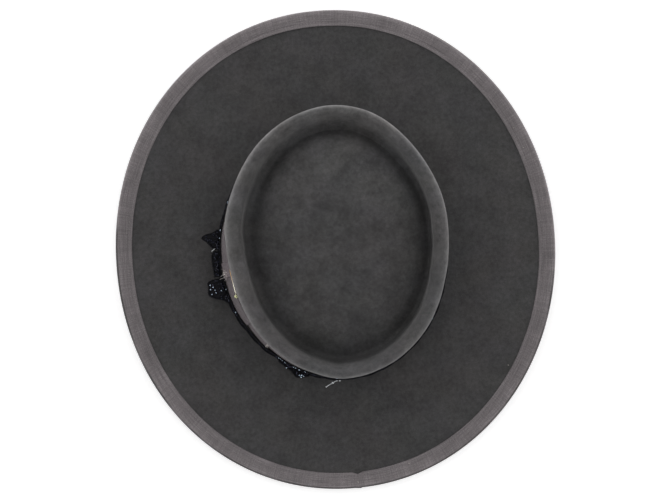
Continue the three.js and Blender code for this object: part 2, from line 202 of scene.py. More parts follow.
class Nodes:
    """Short ways to add nodes to a material and wire them."""

    def __init__(self, material):
        self.tree = material.node_tree

    def add(self, kind, values=None, **settings):
        node = self.tree.nodes.new(kind)
        for name, value in settings.items():
            setattr(node, name, value)
        for socket, value in (values or {}).items():
            if isinstance(value, bpy.types.NodeSocket):
                self.tree.links.new(value, node.inputs[socket])
            else:
                node.inputs[socket].default_value = value
        return node

    def place(self):
        return self.add("ShaderNodeTexCoord").outputs["Object"]

    def part(self, vector, axis):
        return self.add("ShaderNodeSeparateXYZ", {"Vector": vector}).outputs[axis]

    def noise(self, place, scale, detail, roughness=0.5):
        values = {"Vector": place, "Scale": scale, "Detail": detail, "Roughness": roughness}
        return self.add("ShaderNodeTexNoise", values).outputs["Fac"]

    def math(self, operation, first, second):
        return self.add("ShaderNodeMath", {0: first, 1: second}, operation=operation).outputs[0]

    def product(self, first, *others):
        for value in others:
            first = self.math("MULTIPLY", first, value)
        return first

    def tone(self, noise, dark, light):
        """Turns noise into a factor that runs from dark to light."""
        return self.span(noise, 0.3, 0.7, dark, light)

    def span(self, value, from_low, from_high, to_low, to_high):
        values = {
            "Value": value, "From Min": from_low, "From Max": from_high,
            "To Min": to_low, "To Max": to_high,
        }
        return self.add("ShaderNodeMapRange", values).outputs["Result"]

    def stretched(self, place, scale):
        return self.add("ShaderNodeVectorMath", {0: place, 1: scale}, operation="MULTIPLY").outputs[0]

    def shaded(self, color, light):
        """color times light."""
        return self.add("ShaderNodeVectorMath", {0: color, "Scale": light}, operation="SCALE").outputs[0]

    def bump(self, height, distance, strength=1.0, normal=None):
        values = {"Height": height, "Distance": distance, "Strength": strength}
        if normal is not None:
            values["Normal"] = normal
        return self.add("ShaderNodeBump", values).outputs["Normal"]

    def join(self, output, shader, socket):
        self.tree.links.new(output, shader.inputs[socket])


FELT_COLOR = (0.056, 0.0548, 0.0555)
MOTTLE, BRIM_MOTTLE = 1.5, 0.55  # on the crown, and its share on the brim
BRIM_TO_CROWN = (0.05, 0.09)  # heights between which the one mottle turns into the other
# how strongly the felt's painted light and painted shade change its colour
PAINTED_LIGHT_STRENGTH = 0.9
BINDING_COLOR = (0.181, 0.163, 0.168)
BOW_COLOR = (0.102, 0.083, 0.09)
LACE_COLOR = (0.0036, 0.0036, 0.0056)
STITCH_COLOR = (0.24, 0.22, 0.225)
FRAY_COLOR = (0.62, 0.58, 0.55)
LINT_COLOR = (0.5, 0.47, 0.42)
SILVER_COLOR = (0.62, 0.74, 0.88)
NAVY_COLOR = (0.01, 0.012, 0.03)
SPRIG_COLOR = (0.6, 0.62, 0.64)
GOLD_COLOR = (0.62, 0.36, 0.13)
# gold paled by a painted reflection, near the pin's head
REFLECTION_GOLD_COLOR = (0.98, 0.93, 0.76)
PIN_REFLECTION_SPAN = (-0.019, -0.026)  # Y where the painted reflection on the gold starts, and where it is full
# yellow-green, paled towards white as a painted highlight
GLASS_COLOR = (0.96, 0.98, 0.55)


def felt_material():
    """Fur felt: a soft mottle in two sizes, a nap of fine fibres, a fuzzy sheen, and painted light and
    painted shade from a mesh attribute.
    """
    material, shader = new_material("charcoal_felt", FELT_COLOR, 0.92, {
        "Specular IOR Level": 0.15, "Sheen Weight": 0.12, "Sheen Roughness": 0.4,
        "Sheen Tint": (1, 0.98, 0.97, 1),
    })
    nodes = Nodes(material)
    place = nodes.place()
    uneven = nodes.span(nodes.part(place, "Z"), *BRIM_TO_CROWN, BRIM_MOTTLE, 1)
    mottle = nodes.math("SUBTRACT", nodes.noise(place, 60, 6, 0.65), 0.5)
    cloudy = nodes.math("ADD", nodes.product(mottle, uneven, MOTTLE), 1)
    suede = nodes.tone(nodes.noise(place, 330, 5, 0.65), 0.8, 1.2)
    fibres = nodes.noise(place, 2600, 3, 0.7)
    # painted light and painted shade, given per point on the mesh
    painted_light = nodes.add("ShaderNodeAttribute", attribute_name=PAINTED_LIGHT).outputs["Fac"]
    painted_factor = nodes.span(painted_light, -1, 2, 1 - PAINTED_LIGHT_STRENGTH, 1 + 2 * PAINTED_LIGHT_STRENGTH)
    light = nodes.product(cloudy, suede, nodes.tone(fibres, 0.76, 1.24), painted_factor)
    pinker = nodes.span(nodes.noise(place, 24, 2), 0.35, 0.65, 0.985, 1.02)
    bluer = nodes.span(nodes.noise(nodes.stretched(place, (1, 1.3, 1)), 31, 2), 0.35, 0.65, 0.98, 1.015)
    cast = nodes.add("ShaderNodeCombineXYZ", {"X": pinker, "Y": 1.0, "Z": bluer}).outputs[0]
    nodes.join(nodes.shaded(nodes.stretched(cast, FELT_COLOR), light), shader, "Base Color")
    pressed = nodes.bump(nodes.noise(place, 420, 3), 0.00012)
    nodes.join(nodes.bump(fibres, 0.00014, 0.8, pressed), shader, "Normal")
    return material


# Places across a ribbon in metres: where the bow's painted light and shade runs, where the binding gets
# painted light towards the brim's edge, and where it turns over that edge.
RIBBON_SHADING = (0.001, 0.014)
EDGE_LIGHT_SPAN = (0.0075, 0.0105)
FOLD_FROM, FOLD_TO, FOLD_BLUR = 0.0119, 0.0145, 0.0004
FOLD_SHADE_BACKWARD = 1.2  # what each metre towards the back adds to the noise that places painted shade on the fold


def grosgrain_material(name, color, low_light=1, high_light=1, painted_fold_shade=1):
    """Ribbed ribbon. Its map runs along the ribbon in u and across it in v, both in metres. low_light
    is how light it is at v = 0, against high_light further up: painted light at the lower edge and
    painted shade towards the upper edge. The last argument is how light it stays under painted shade
    where it is folded over an edge, mostly at the back of the hat, with painted light towards that edge."""
    material, shader = new_material(name, color, 0.62, {
        "Specular IOR Level": 0.35, "Sheen Weight": 0.15, "Sheen Roughness": 0.35,
    })
    nodes = Nodes(material)
    along = nodes.add("ShaderNodeUVMap", uv_map=CLOTH_MAP).outputs["UV"]
    place = nodes.place()
    rib_tone = nodes.tone(nodes.noise(nodes.stretched(along, (1, 0.04, 0)), 900, 1), 0.87, 1.13)
    weft_tone = nodes.tone(nodes.noise(nodes.stretched(along, (0.03, 1, 0)), 1500, 2), 0.76, 1.24)
    specks = nodes.span(nodes.noise(along, 1100, 2, 0.6), 0.35, 0.75, 0.84, 1.34)
    cloudy = nodes.tone(nodes.noise(place, 60, 3), 0.9, 1.1)
    warp = nodes.noise(nodes.stretched(along, (0.3, 1, 0)), 5200, 2, 0.6)
    across = nodes.part(along, "Y")
    # painted light at the ribbon's lower edge, turning to painted shade towards its upper edge
    painted_shading = nodes.span(across, *RIBBON_SHADING, low_light, high_light)
    light = nodes.product(rib_tone, weft_tone, specks, painted_shading, cloudy, nodes.tone(warp, 0.8, 1.2))
    if painted_fold_shade < 1:
        # painted shade in patches along the fold, mostly at the back of the hat
        above_fold = nodes.span(across, FOLD_FROM, FOLD_FROM + FOLD_BLUR, 0, 1)
        below_fold = nodes.span(across, FOLD_TO, FOLD_TO + FOLD_BLUR, 1, 0)
        backward = nodes.product(nodes.part(place, "Y"), -FOLD_SHADE_BACKWARD)
        patches = nodes.math("ADD", nodes.noise(place, 14, 2), backward)
        dark = nodes.product(above_fold, below_fold, nodes.span(patches, 0.48, 0.62, 0, 1))
        # painted light on the binding towards the brim's edge
        painted_edge_light = nodes.span(across, *EDGE_LIGHT_SPAN, 1, 1.1)
        light = nodes.product(light, nodes.span(dark, 0, 1, 1, painted_fold_shade), painted_edge_light)
    nodes.join(nodes.shaded(color, light), shader, "Base Color")
    nodes.join(nodes.bump(warp, 0.00006, 0.7), shader, "Normal")
    return material


def lace_material():
    """Black cotton thread with a faint blue cast."""
    material, shader = new_material("black_lace", LACE_COLOR, 0.72, {"Specular IOR Level": 0.14})
    nodes = Nodes(material)
    yarn = nodes.noise(nodes.stretched(nodes.place(), (1, 1, 2.5)), 2200, 2, 0.6)
    nodes.join(nodes.shaded(LACE_COLOR, nodes.tone(yarn, 0.6, 1.5)), shader, "Base Color")
    nodes.join(nodes.bump(yarn, 0.00012, 0.8), shader, "Normal")
    return material


def glossy_material(name, color, roughness, metallic):
    return new_material(name, color, roughness, {"Metallic": metallic})[0]


def pin_material():
    """Gilt wire, paled by a painted reflection towards the pin's head, which is at its -Y end."""
    material, shader = new_material("gold", GOLD_COLOR, 0.25, {"Metallic": 1})
    nodes = Nodes(material)
    # painted reflection, growing towards the pin's head
    reflection_share = nodes.span(nodes.part(nodes.place(), "Y"), *PIN_REFLECTION_SPAN, 0, 1)
    added = nodes.shaded(tuple(b - a for a, b in zip(GOLD_COLOR, REFLECTION_GOLD_COLOR)), reflection_share)
    base = nodes.add("ShaderNodeVectorMath", {0: GOLD_COLOR, 1: added}, operation="ADD").outputs[0]
    nodes.join(base, shader, "Base Color")
    return material


def glass_material():
    """Clear yellow-green glass, kept partly solid so that it reads at its small size, its colour paled
    towards white as a painted highlight.
    """
    glass = {"Transmission Weight": 0.45, "IOR": 1.5}
    return new_material("yellow_green_glass", GLASS_COLOR, 0.06, glass)[0]


# Meshes

CLOTH_MAP = "cloth"
# name of the mesh attribute that carries the felt's painted light and painted shade
PAINTED_LIGHT = "painted_light"


def new_piece(name, points, faces, material, replaces=(), cloth=None, painted_light=None):
    """A piece on the hat's one body. points are in millimetres. cloth gives each point's place on the
    ribbon. The last argument gives each point painted light, or painted shade where it is negative."""
    mesh = bpy.data.meshes.new(name)
    mesh.from_pydata((np.reshape(points, (-1, 3)) * MM).tolist(), [], faces)
    mesh.materials.append(material)
    mesh.polygons.foreach_set("use_smooth", np.full(len(mesh.polygons), True))
    if cloth is not None:
        corner_vertex = np.empty(len(mesh.loops), np.int32)
        mesh.loops.foreach_get("vertex_index", corner_vertex)
        layer = mesh.uv_layers.new(name=CLOTH_MAP)
        places = np.reshape(cloth, (-1, 2))[corner_vertex] * MM
        layer.uv.foreach_set("vector", places.astype(np.float32).ravel())
    if painted_light is not None:
        mesh.attributes.new(PAINTED_LIGHT, "FLOAT", "POINT").data.foreach_set("value", painted_light.astype(np.float32))
    mesh.update()
    piece = bpy.data.objects.new(name, mesh)
    bpy.context.scene.collection.objects.link(piece)
    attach(piece, "root")
    if replaces:
        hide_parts(*replaces)


class Heap:
    """Small meshes with four-cornered faces, gathered into one piece."""

    def __init__(self):
        self.points = []
        self.faces = []
        self.count = 0

    def add(self, points, faces):
        self.points.append(np.reshape(points, (-1, 3)))
        self.faces.append(np.asarray(faces) + self.count)
        self.count += len(self.points[-1])

    def make(self, name, material, replaces=()):
        faces = np.concatenate(self.faces).tolist()
        new_piece(name, np.concatenate(self.points), faces, material, replaces)


def ring_faces(count, size, is_closed):
    """Quads between sections of a solid, numbered section by section."""
    i = np.arange(count if is_closed else count - 1)[:, None]
    j = np.arange(size)[None, :]
    corner = lambda a, b: (a % count) * size + b % size
    corners = [corner(i, j), corner(i + 1, j), corner(i + 1, j + 1), corner(i, j + 1)]
    return np.stack(corners, -1).reshape(-1, 4)


def strip_faces(count, size):
    """Faces of a strip with closed ends, whose sections have two halves that mirror each other."""
    j = np.arange(size // 2 - 1)
    start = np.stack([j, j + 1, size - 2 - j, size - 1 - j], -1)
    return np.concatenate([ring_faces(count, size, False), start, start[:, ::-1] + (count - 1) * size])


def copied_faces(one, count, size):
    """The faces of one small mesh of size points, again for each of count meshes in a row."""
    return (one[None] + (np.arange(count) * size)[:, None, None]).reshape(-1, 4)


def unit(vectors):
    return vectors / np.linalg.norm(vectors, axis=-1, keepdims=True)


def run_along(curve):
    """Distance along a curve to each of its points."""
    return np.concatenate([[0], np.cumsum(np.linalg.norm(np.diff(curve, axis=0), axis=-1))])


def ribbon_places(run, across):
    """Place on the ribbon of each point of a row of sections."""
    return np.stack(np.broadcast_arrays(run[:, None], across), -1)


def around_hat(rows, angle):
    """Value of a table at an angle, smooth from row to row and closed round the hat."""
    table = np.array(rows, float)
    at = np.concatenate([table[-1:, 0] - 360, table[:, 0], table[:1, 0] + 360])
    value = np.concatenate([table[-1:, 1], table[:, 1], table[:1, 1]])
    turn = np.mod(angle, 360)
    i = np.clip(np.searchsorted(at, turn, side="right") - 1, 0, len(at) - 2)
    part = (turn - at[i]) / (at[i + 1] - at[i])
    return value[i] + (value[i + 1] - value[i]) * part * part * (3 - 2 * part)


WAVES = 14


def waves(points, pitch, seed):
    """Gentle random swell over points, about -1 to 1, with bumps about pitch apart."""
    rng = np.random.default_rng(seed)
    swell = np.zeros(points.shape[:-1])
    for _ in range(WAVES):
        direction = rng.normal(size=3)
        direction *= 2 * np.pi / (pitch * rng.uniform(0.7, 1.8) * np.linalg.norm(direction))
        swell += np.sin(points @ direction + rng.uniform(0, 2 * np.pi))
    return swell / np.sqrt(2 * WAVES)


def shares(count):
    """count values in even steps from 0 to 1."""
    return np.linspace(0, 1, count)


def tubes(paths, radii, out, sides):
    """Round threads along rows of points. out is roughly square to the threads."""
    along = np.gradient(paths, axis=-2)
    side = unit(np.cross(along, out))
    up = unit(np.cross(side, along))
    turn = np.arange(sides) * 2 * np.pi / sides
    ring = side[..., None, :] * np.cos(turn)[:, None] + up[..., None, :] * np.sin(turn)[:, None]
    thickness = np.broadcast_to(radii, paths.shape[:-1])[..., None, None]
    points = paths[..., None, :] + ring * thickness
    count, steps = paths.shape[:2]
    return points.reshape(-1, 3), copied_faces(ring_faces(steps, sides, False), count, steps * sides)


def thread_radii(steps, radius):
    """Radii along a thread with rounded ends."""
    radii = np.full(steps, float(radius))
    radii[[0, -1]] *= 0.08
    radii[[1, -2]] *= 0.8
    return radii


UP = np.array([0, 0, 1])
BEAD_SIDES = 10
BEAD_SECTION = np.array([(0.3, -0.45), (0.68, -0.7), (1, -0.3), (1, 0.3), (0.68, 0.7), (0.3, 0.45)])


def beads(centres, radii, axes):
    """Drilled beads, each a ring section turned round its own axis."""
    axes = unit(axes)
    helper = np.where(np.abs(axes[:, 2:]) < 0.9, [UP], [[1, 0, 0]])
    side = unit(np.cross(axes, helper))
    other = np.cross(axes, side)
    turn = np.arange(BEAD_SIDES)[:, None] * 2 * np.pi / BEAD_SIDES
    circle = side[:, None, :] * np.cos(turn) + other[:, None, :] * np.sin(turn)
    shape = circle[:, :, None, :] * BEAD_SECTION[:, :1] + axes[:, None, None, :] * BEAD_SECTION[:, 1:]
    points = centres[:, None, None, :] + shape * np.asarray(radii)[:, None, None, None]
    one = ring_faces(BEAD_SIDES, len(BEAD_SECTION), True)
    return points.reshape(-1, 3), copied_faces(one, len(centres), BEAD_SIDES * len(BEAD_SECTION))


def ball(centre, radius, sides, rings):
    """A round bead without a hole."""
    tilt = np.linspace(-np.pi / 2 + 0.02, np.pi / 2 - 0.02, rings)
    turn = np.arange(sides)[:, None] * 2 * np.pi / sides
    x, y = np.cos(tilt) * np.cos(turn), np.cos(tilt) * np.sin(turn)
    shape = np.stack(np.broadcast_arrays(x, y, np.sin(tilt)), -1)
    faces = ring_faces(sides, rings, True).reshape(sides, rings, 4)[:, :-1]
    return centre + radius * shape.reshape(-1, 3), faces.reshape(-1, 4)


def even_points(curve, pitch):
    """A curve again with even steps of about pitch, and the run along it to each point."""
    run = run_along(curve)
    even = np.linspace(0, run[-1], round(run[-1] / pitch) + 1)
    return np.stack([np.interp(even, run, column) for column in curve.T], -1), even


def smooth_curve(rows, steps=12):
    """Smooth curve from the first row of a table to the last."""
    rows = np.array(rows, float)
    before, after = 2 * rows[0] - rows[1], 2 * rows[-1] - rows[-2]
    return spline(np.concatenate([[before], rows, [after]]), steps)


def spline(controls, steps):
    """Smooth curve down the rows of controls, with steps points for each stretch. It runs from the
    second control to the last but one."""
    gaps = np.sqrt(np.linalg.norm(np.diff(controls, axis=0), axis=-1))[..., None]
    knots = np.concatenate([np.zeros_like(gaps[:1]), np.cumsum(gaps, 0)])

    def between(start, end, a, b, at):
        return ((end - at) * a + (at - start) * b) / (end - start)

    rows = []
    for i in range(1, len(controls) - 2):
        p0, p1, p2, p3 = controls[i - 1:i + 3]
        t0, t1, t2, t3 = knots[i - 1:i + 3]
        for step in range(steps):
            at = t1 + (t2 - t1) * step / steps
            a = between(t0, t1, p0, p1, at)
            b = between(t1, t2, p1, p2, at)
            c = between(t2, t3, p2, p3, at)
            rows.append(between(t1, t2, between(t0, t2, a, b, at), between(t1, t3, b, c, at), at))
    rows.append(controls[-2])
    return np.stack(rows)


# The hat's surfaces

def wall_point(angle, height, out):
    """Point beside the crown wall: out is the distance out from its inside, square to the oval."""
    angle, height, out = np.broadcast_arrays(*(np.asarray(v, float) for v in (angle, height, out)))
    turn = np.radians(angle)
    rise = height / CROWN_HEIGHT
    half_width = HEAD_WIDTH / 2 - CROWN_TAPER * rise
    half_length = HEAD_LENGTH / 2
    profile = 1 - (1 - np.minimum(height / LEAN_HEIGHT, 1)) ** 2
    profile = profile + TUCK * np.exp(-((height - LEAN_HEIGHT) / TUCK_REACH) ** 2)
    lean = CROWN_LEAN * around_hat(RIM_SHAPE, angle) * profile
    square = unit(np.stack([np.cos(turn) / half_width, np.sin(turn) / half_length], -1))
    x = half_width * np.cos(turn) + square[..., 0] * (out + lean)
    y = half_length * np.sin(turn) + square[..., 1] * (out + lean)
    return np.stack([x, y, height], -1)


def brim_point(angle, part):
    """Point on the underside of the brim. part runs from 0 at the crown to 1 at the felt's cut edge."""
    angle, part = np.broadcast_arrays(np.asarray(angle, float), np.asarray(part, float))
    turn = np.radians(angle)
    root = 2 / BRIM_SQUARENESS
    x = (BRIM_WIDTH / 2 - EDGE_INSET) * np.sign(np.cos(turn)) * np.abs(np.cos(turn)) ** root
    y = (BRIM_LENGTH / 2 - EDGE_INSET) * np.sign(np.sin(turn)) * np.abs(np.sin(turn)) ** root
    edge = np.stack([x, y, np.zeros_like(x)], -1)
    foot = wall_point(angle, 0, UNDER_BREAK_RADIUS)
    point = foot + (edge - foot) * part[..., None]
    flat = BRIM_FLAT / np.linalg.norm(edge - foot, axis=-1)
    curl = np.maximum(0, (part - flat) / (1 - flat))
    rise = BRIM_RISE_END + (BRIM_RISE_SIDE - BRIM_RISE_END) * np.cos(turn) ** 2
    point[..., 2] = rise * curl ** 2
    return point


def edge_point(angle, inward, lift):
    """Point near the brim's edge: inward from the felt's cut edge, lifted square off the underside."""
    angle, inward, lift = np.broadcast_arrays(*(np.asarray(v, float) for v in (angle, inward, lift)))
    width = np.linalg.norm(brim_point(angle, 1) - brim_point(angle, 0), axis=-1)
    part = 1 - inward / width
    turn_step, part_step = 0.5, 0.006
    along = brim_point(angle + turn_step, part) - brim_point(angle - turn_step, part)
    towards_crown = brim_point(angle, part - part_step) - brim_point(angle, part + part_step)
    return brim_point(angle, part) + unit(np.cross(along, towards_crown)) * lift[..., None]


def even_angles(count, curve):
    """count angles spread evenly by length along a closed curve, which gives points for angles, and
    the length of the curve."""
    fine = np.linspace(0, 360, 4001)
    run = run_along(curve(fine))
    return np.interp(np.arange(count) / count * run[-1], run, fine), run[-1]


# Felt body

def felt_underside(angle, brim_steps, break_steps, wall_steps, steps):
    """Rings of the felt's underside, from the brim's edge to near the middle of the crown."""
    turn = np.radians(angle)
    brim = brim_point(angle[None], np.linspace(1, 0, brim_steps + 1)[:, None])
    bend = np.linspace(0, np.pi / 2, break_steps + 1)[1:, None]
    turn_up = wall_point(
        angle[None], UNDER_BREAK_RADIUS * (1 - np.cos(bend)), UNDER_BREAK_RADIUS * (1 - np.sin(bend))
    )
    wall_top = RIM_TOP - CREASE_DEPTH * RIM_SECTIONS[0][4]
    climb = UNDER_BREAK_RADIUS + (wall_top - UNDER_BREAK_RADIUS) * np.array(WALL_SECTIONS)
    wall_heights = np.linspace(UNDER_BREAK_RADIUS, climb[-1], wall_steps + 1)[1:-1, None]
    wall = wall_point(angle[None], wall_heights, 0)

    controls = [wall_point(angle, height, 0) for height in climb[1:]]
    for right_in, front_in, left_in, back_in, down in RIM_SECTIONS:
        side_in = np.where(np.cos(turn) > 0, right_in, left_in)
        end_in = np.where(np.sin(turn) > 0, front_in, back_in)
        inward = (side_in + (end_in - side_in) * np.sin(turn) ** 2) * RING_WIDTH
        controls.append(wall_point(angle, RIM_TOP - CREASE_DEPTH * down, -inward))
    crease = controls[-1]

    def dome_ring(part):
        ring = crease * [part, part, 1]
        ring[..., 2] += DOME_RISE * (1 - part ** around_hat(DOME_FULLNESS, angle))
        return ring

    controls += [dome_ring(part) for part in [*DOME_SECTIONS, 0.0]]
    crown = spline(np.stack(controls), steps)
    cap = np.stack([dome_ring(part) for part in (0.15, 0.08, 0.02)])
    return np.concatenate([brim, turn_up, wall, crown, cap])


def off_surface(rings):
    """Directions square to a surface of rings whose outer side is up and out."""
    along = np.roll(rings, -1, 1) - np.roll(rings, 1, 1)
    return unit(np.cross(along, np.gradient(rings, axis=0)))


FELT_COLUMNS = 384
FELT_SWELL = 0.16
WRINKLE = [(-79.5, 10.2), (-71.5, 8.2)]  # x and y of its ends
WRINKLE_DEPTH, WRINKLE_WIDTH = 0.55, 1.4
RIM_LIGHT_REACH = 14  # painted light and sheen on the rim, in from its outer side
RIM_LIGHT_FOOT, RIM_LIGHT_CLIMB = 90, 12  # and up from this height, in full so much higher
RIM_LIGHT_FORWARD = 0.45  # more of it at the front, and less at the back
EDGE_HIGHLIGHT, EDGE_HIGHLIGHT_REACH = 0.5, 2.5  # a painted highlight on the outermost few millimetres, away from the back
DOME_LIGHT = 0.42  # painted light towards the front of the dome
SHADE = 0.33  # painted shade on the wall of the crease
SHADE_FOOT, SHADE_FOOT_FROM = 0.36, 10  # and more painted shade at its foot
SHADE_BACKWARD = 0.45  # more of both at the back, and less at the front
SHADE_FROM, SHADE_SPAN = 15, 6  # in from the rim's outer side
BRIM_LIGHT = 0.3  # painted light on the outer half of the brim
BRIM_LIGHT_FROM, BRIM_LIGHT_SPAN = 12, 40


def wrinkle(points):
    """Depth of the small crosswise wrinkle in the rim above the bow."""
    start, end = np.array(WRINKLE)
    along = (end - start) / np.linalg.norm(end - start)
    away = points[..., :2] - start
    run = away @ along / np.linalg.norm(end - start)
    beside = away @ np.array([-along[1], along[0]])
    is_rim = points[..., 2] > CROWN_HEIGHT - 12
    return WRINKLE_DEPTH * is_rim * np.exp(-((beside / WRINKLE_WIDTH) ** 2) - ((run - 0.5) / 0.45) ** 4)


def felt_painted_light(top, angle):
    """Painted light (above 0) and painted shade (below 0) on the felt's upper side at each point."""
    height = top[..., 2]
    towards_right, forward = np.cos(np.radians(angle)), np.sin(np.radians(angle))
    rim_out = np.linalg.norm((top - wall_point(angle, height, FELT))[..., :2], axis=-1)
    # painted light and sheen on the rim, stronger towards the front
    painted_rim_light = np.clip(1 - rim_out / RIM_LIGHT_REACH, 0, 1) ** (1.2 + 1.7 * forward.clip(0))
    # a painted highlight along the rim's outermost edge
    painted_rim_light += EDGE_HIGHLIGHT * np.clip(1 - rim_out / EDGE_HIGHLIGHT_REACH, 0, 1) * np.clip(0.35 + forward, 0, 1)
    painted_rim_light *= np.clip((height - RIM_LIGHT_FOOT) / RIM_LIGHT_CLIMB, 0, 1)
    painted_rim_light *= 1 + RIM_LIGHT_FORWARD * np.where(forward > 0, 1.6, 0.75) * forward

    # painted shade low on the crease's wall and at its foot, less at the front
    is_inside = np.arange(len(top))[:, None] > np.argmax(height, axis=0)
    depth = np.clip((CROWN_HEIGHT - height) / CREASE_DEPTH, 0, 1)
    far_in = np.clip((rim_out - SHADE_FROM + 3 * towards_right.clip(0)) / SHADE_SPAN, 0, 1)
    past_foot = np.clip((rim_out - SHADE_FOOT_FROM) / SHADE_SPAN, 0, 1)
    shade = SHADE * np.clip(depth * 4 - 1.6, 0, 1) * (1 - far_in)
    shade += SHADE_FOOT * np.clip(depth * 3 - 1.4, 0, 1) * (1 - past_foot)
    shade *= is_inside * (1 - SHADE_BACKWARD * forward * np.where(forward > 0, 1.5, 1))
    # painted light on the front of the dome
    painted_dome_light = DOME_LIGHT * is_inside * np.clip(top[..., 1] / HEAD_LENGTH * 2, 0, 1)

    # painted light on the outer brim, away from the crown, more at the sides
    painted_brim_light = BRIM_LIGHT * (0.35 + 0.65 * towards_right ** 2)
    painted_brim_light = painted_brim_light * np.clip((rim_out - BRIM_LIGHT_FROM) / BRIM_LIGHT_SPAN, 0, 1)
    return np.where(height > CROWN_HEIGHT / 2, painted_rim_light + painted_dome_light - shade, painted_brim_light)


def make_felt(material):
    angle = np.arange(FELT_COLUMNS) * 360 / FELT_COLUMNS
    fine = felt_underside(angle, 52, 9, 16, 5)
    top = fine + off_surface(fine) * FELT
    swell = waves(top, 34, 3) + 0.5 * waves(top, 14, 4)
    top += off_surface(fine) * (FELT_SWELL * swell - wrinkle(top))[..., None]
    under = felt_underside(angle, 24, 5, 6, 2)

    middle = under[-1].mean(0)
    middle_top = top[-1].mean(0)
    points = np.concatenate([top.reshape(-1, 3), under.reshape(-1, 3), [middle_top], [middle]])
    columns = np.arange(FELT_COLUMNS)
    after = (columns + 1) % FELT_COLUMNS

    def skin(rings, first, is_top):
        row = first + np.arange(rings - 1)[:, None] * FELT_COLUMNS
        near, far = row + columns, row + after
        quads = [near, far, far + FELT_COLUMNS, near + FELT_COLUMNS]
        return np.stack(quads if is_top else quads[::-1], -1).reshape(-1, 4)

    first_under = len(top) * FELT_COLUMNS
    rim = np.stack([first_under + columns, first_under + after, after, columns], -1)
    skins = [skin(len(top), 0, True), skin(len(under), first_under, False), rim]
    faces = np.concatenate(skins).tolist()
    last_top = (len(top) - 1) * FELT_COLUMNS
    last_under = first_under + (len(under) - 1) * FELT_COLUMNS
    faces += [(last_top + a, last_top + b, len(points) - 2) for a, b in zip(columns, after)]
    faces += [(last_under + b, last_under + a, len(points) - 1) for a, b in zip(columns, after)]
    # painted light and painted shade on the felt's upper side only
    painted_light = np.zeros(len(points))
    painted_light[:first_under] = felt_painted_light(top, angle).ravel()
    new_piece("felt", points, faces, material, ["felt_body"], painted_light=painted_light)


# Binding round the brim's edge

RIB_PITCH = 1.0
RIB_SAMPLES = 3
RIB_DEPTH = 0.11
SELVEDGE_LOOP = 0.14
BINDING_STITCH_IN = 2.8  # from the ribbon's inner edge to its row of stitches

SEAM_ANGLE = 272.9  # where the ribbon's ends meet, one lapped over the other
SEAM_SLANT = -0.5  # degrees, from the brim's edge to the ribbon's inner edge
SEAM_STEP, SEAM_FADE = 0.25, 1.6
SEAM_GROOVE = 0.14
GROOVE_MIDDLE, GROOVE_WIDTH = -0.12, 0.13  # degrees past the seam
SEAM_NOTCH, SEAM_NOTCH_SPAN = 1.7, 1.5
SEAM_CORNER = 0.5  # how far the lower end stands out past the other at the brim's edge
CORNER_SPAN, CORNER_DEPTH = 1.5, 3  # and over how many degrees and how far inward

# Section of the binding: inward from the felt's edge, height above the felt's middle, and how much of
# the rib depth it takes. The row for the underside mirrors the one for the top.
HALF_FELT = FELT / 2
BINDING_TOP = [
    (BINDING_WIDTH, 0.04, 0.0),
    (BINDING_WIDTH + 0.12, 0.3, 1.0),
    (BINDING_WIDTH - 0.12, 0.62, 1.0),
    (BINDING_WIDTH - 0.6, 0.5, 0.8),
    (BINDING_WIDTH - BINDING_STITCH_IN + 0.7, 0.6, 1.0),
    (BINDING_WIDTH - BINDING_STITCH_IN, 0.34, 0.5),
    (BINDING_WIDTH - BINDING_STITCH_IN - 0.7, 0.6, 1.0),
    (7.0, 0.64, 1.0),
    (3.5, 0.68, 1.0),
    (0.9, 0.76, 1.0),
    (-0.45, 0.6, 1.0),
]


def binding_section():
    top = [(inward, HALF_FELT + lift, ribs) for inward, lift, ribs in BINDING_TOP]
    fold = [(-1.1, 0.7, 1.0), (-1.3, 0.0, 1.0), (-1.1, -0.7, 1.0)]
    bottom = [(inward, -height, ribs) for inward, height, ribs in reversed(top)]
    return np.array(top + fold + bottom)


def section_normals(section):
    """Outward directions at the points of a closed section that runs clockwise."""
    along = np.roll(section, -1, 0) - np.roll(section, 1, 0)
    return unit(np.stack([-along[:, 1], along[:, 0]], -1))


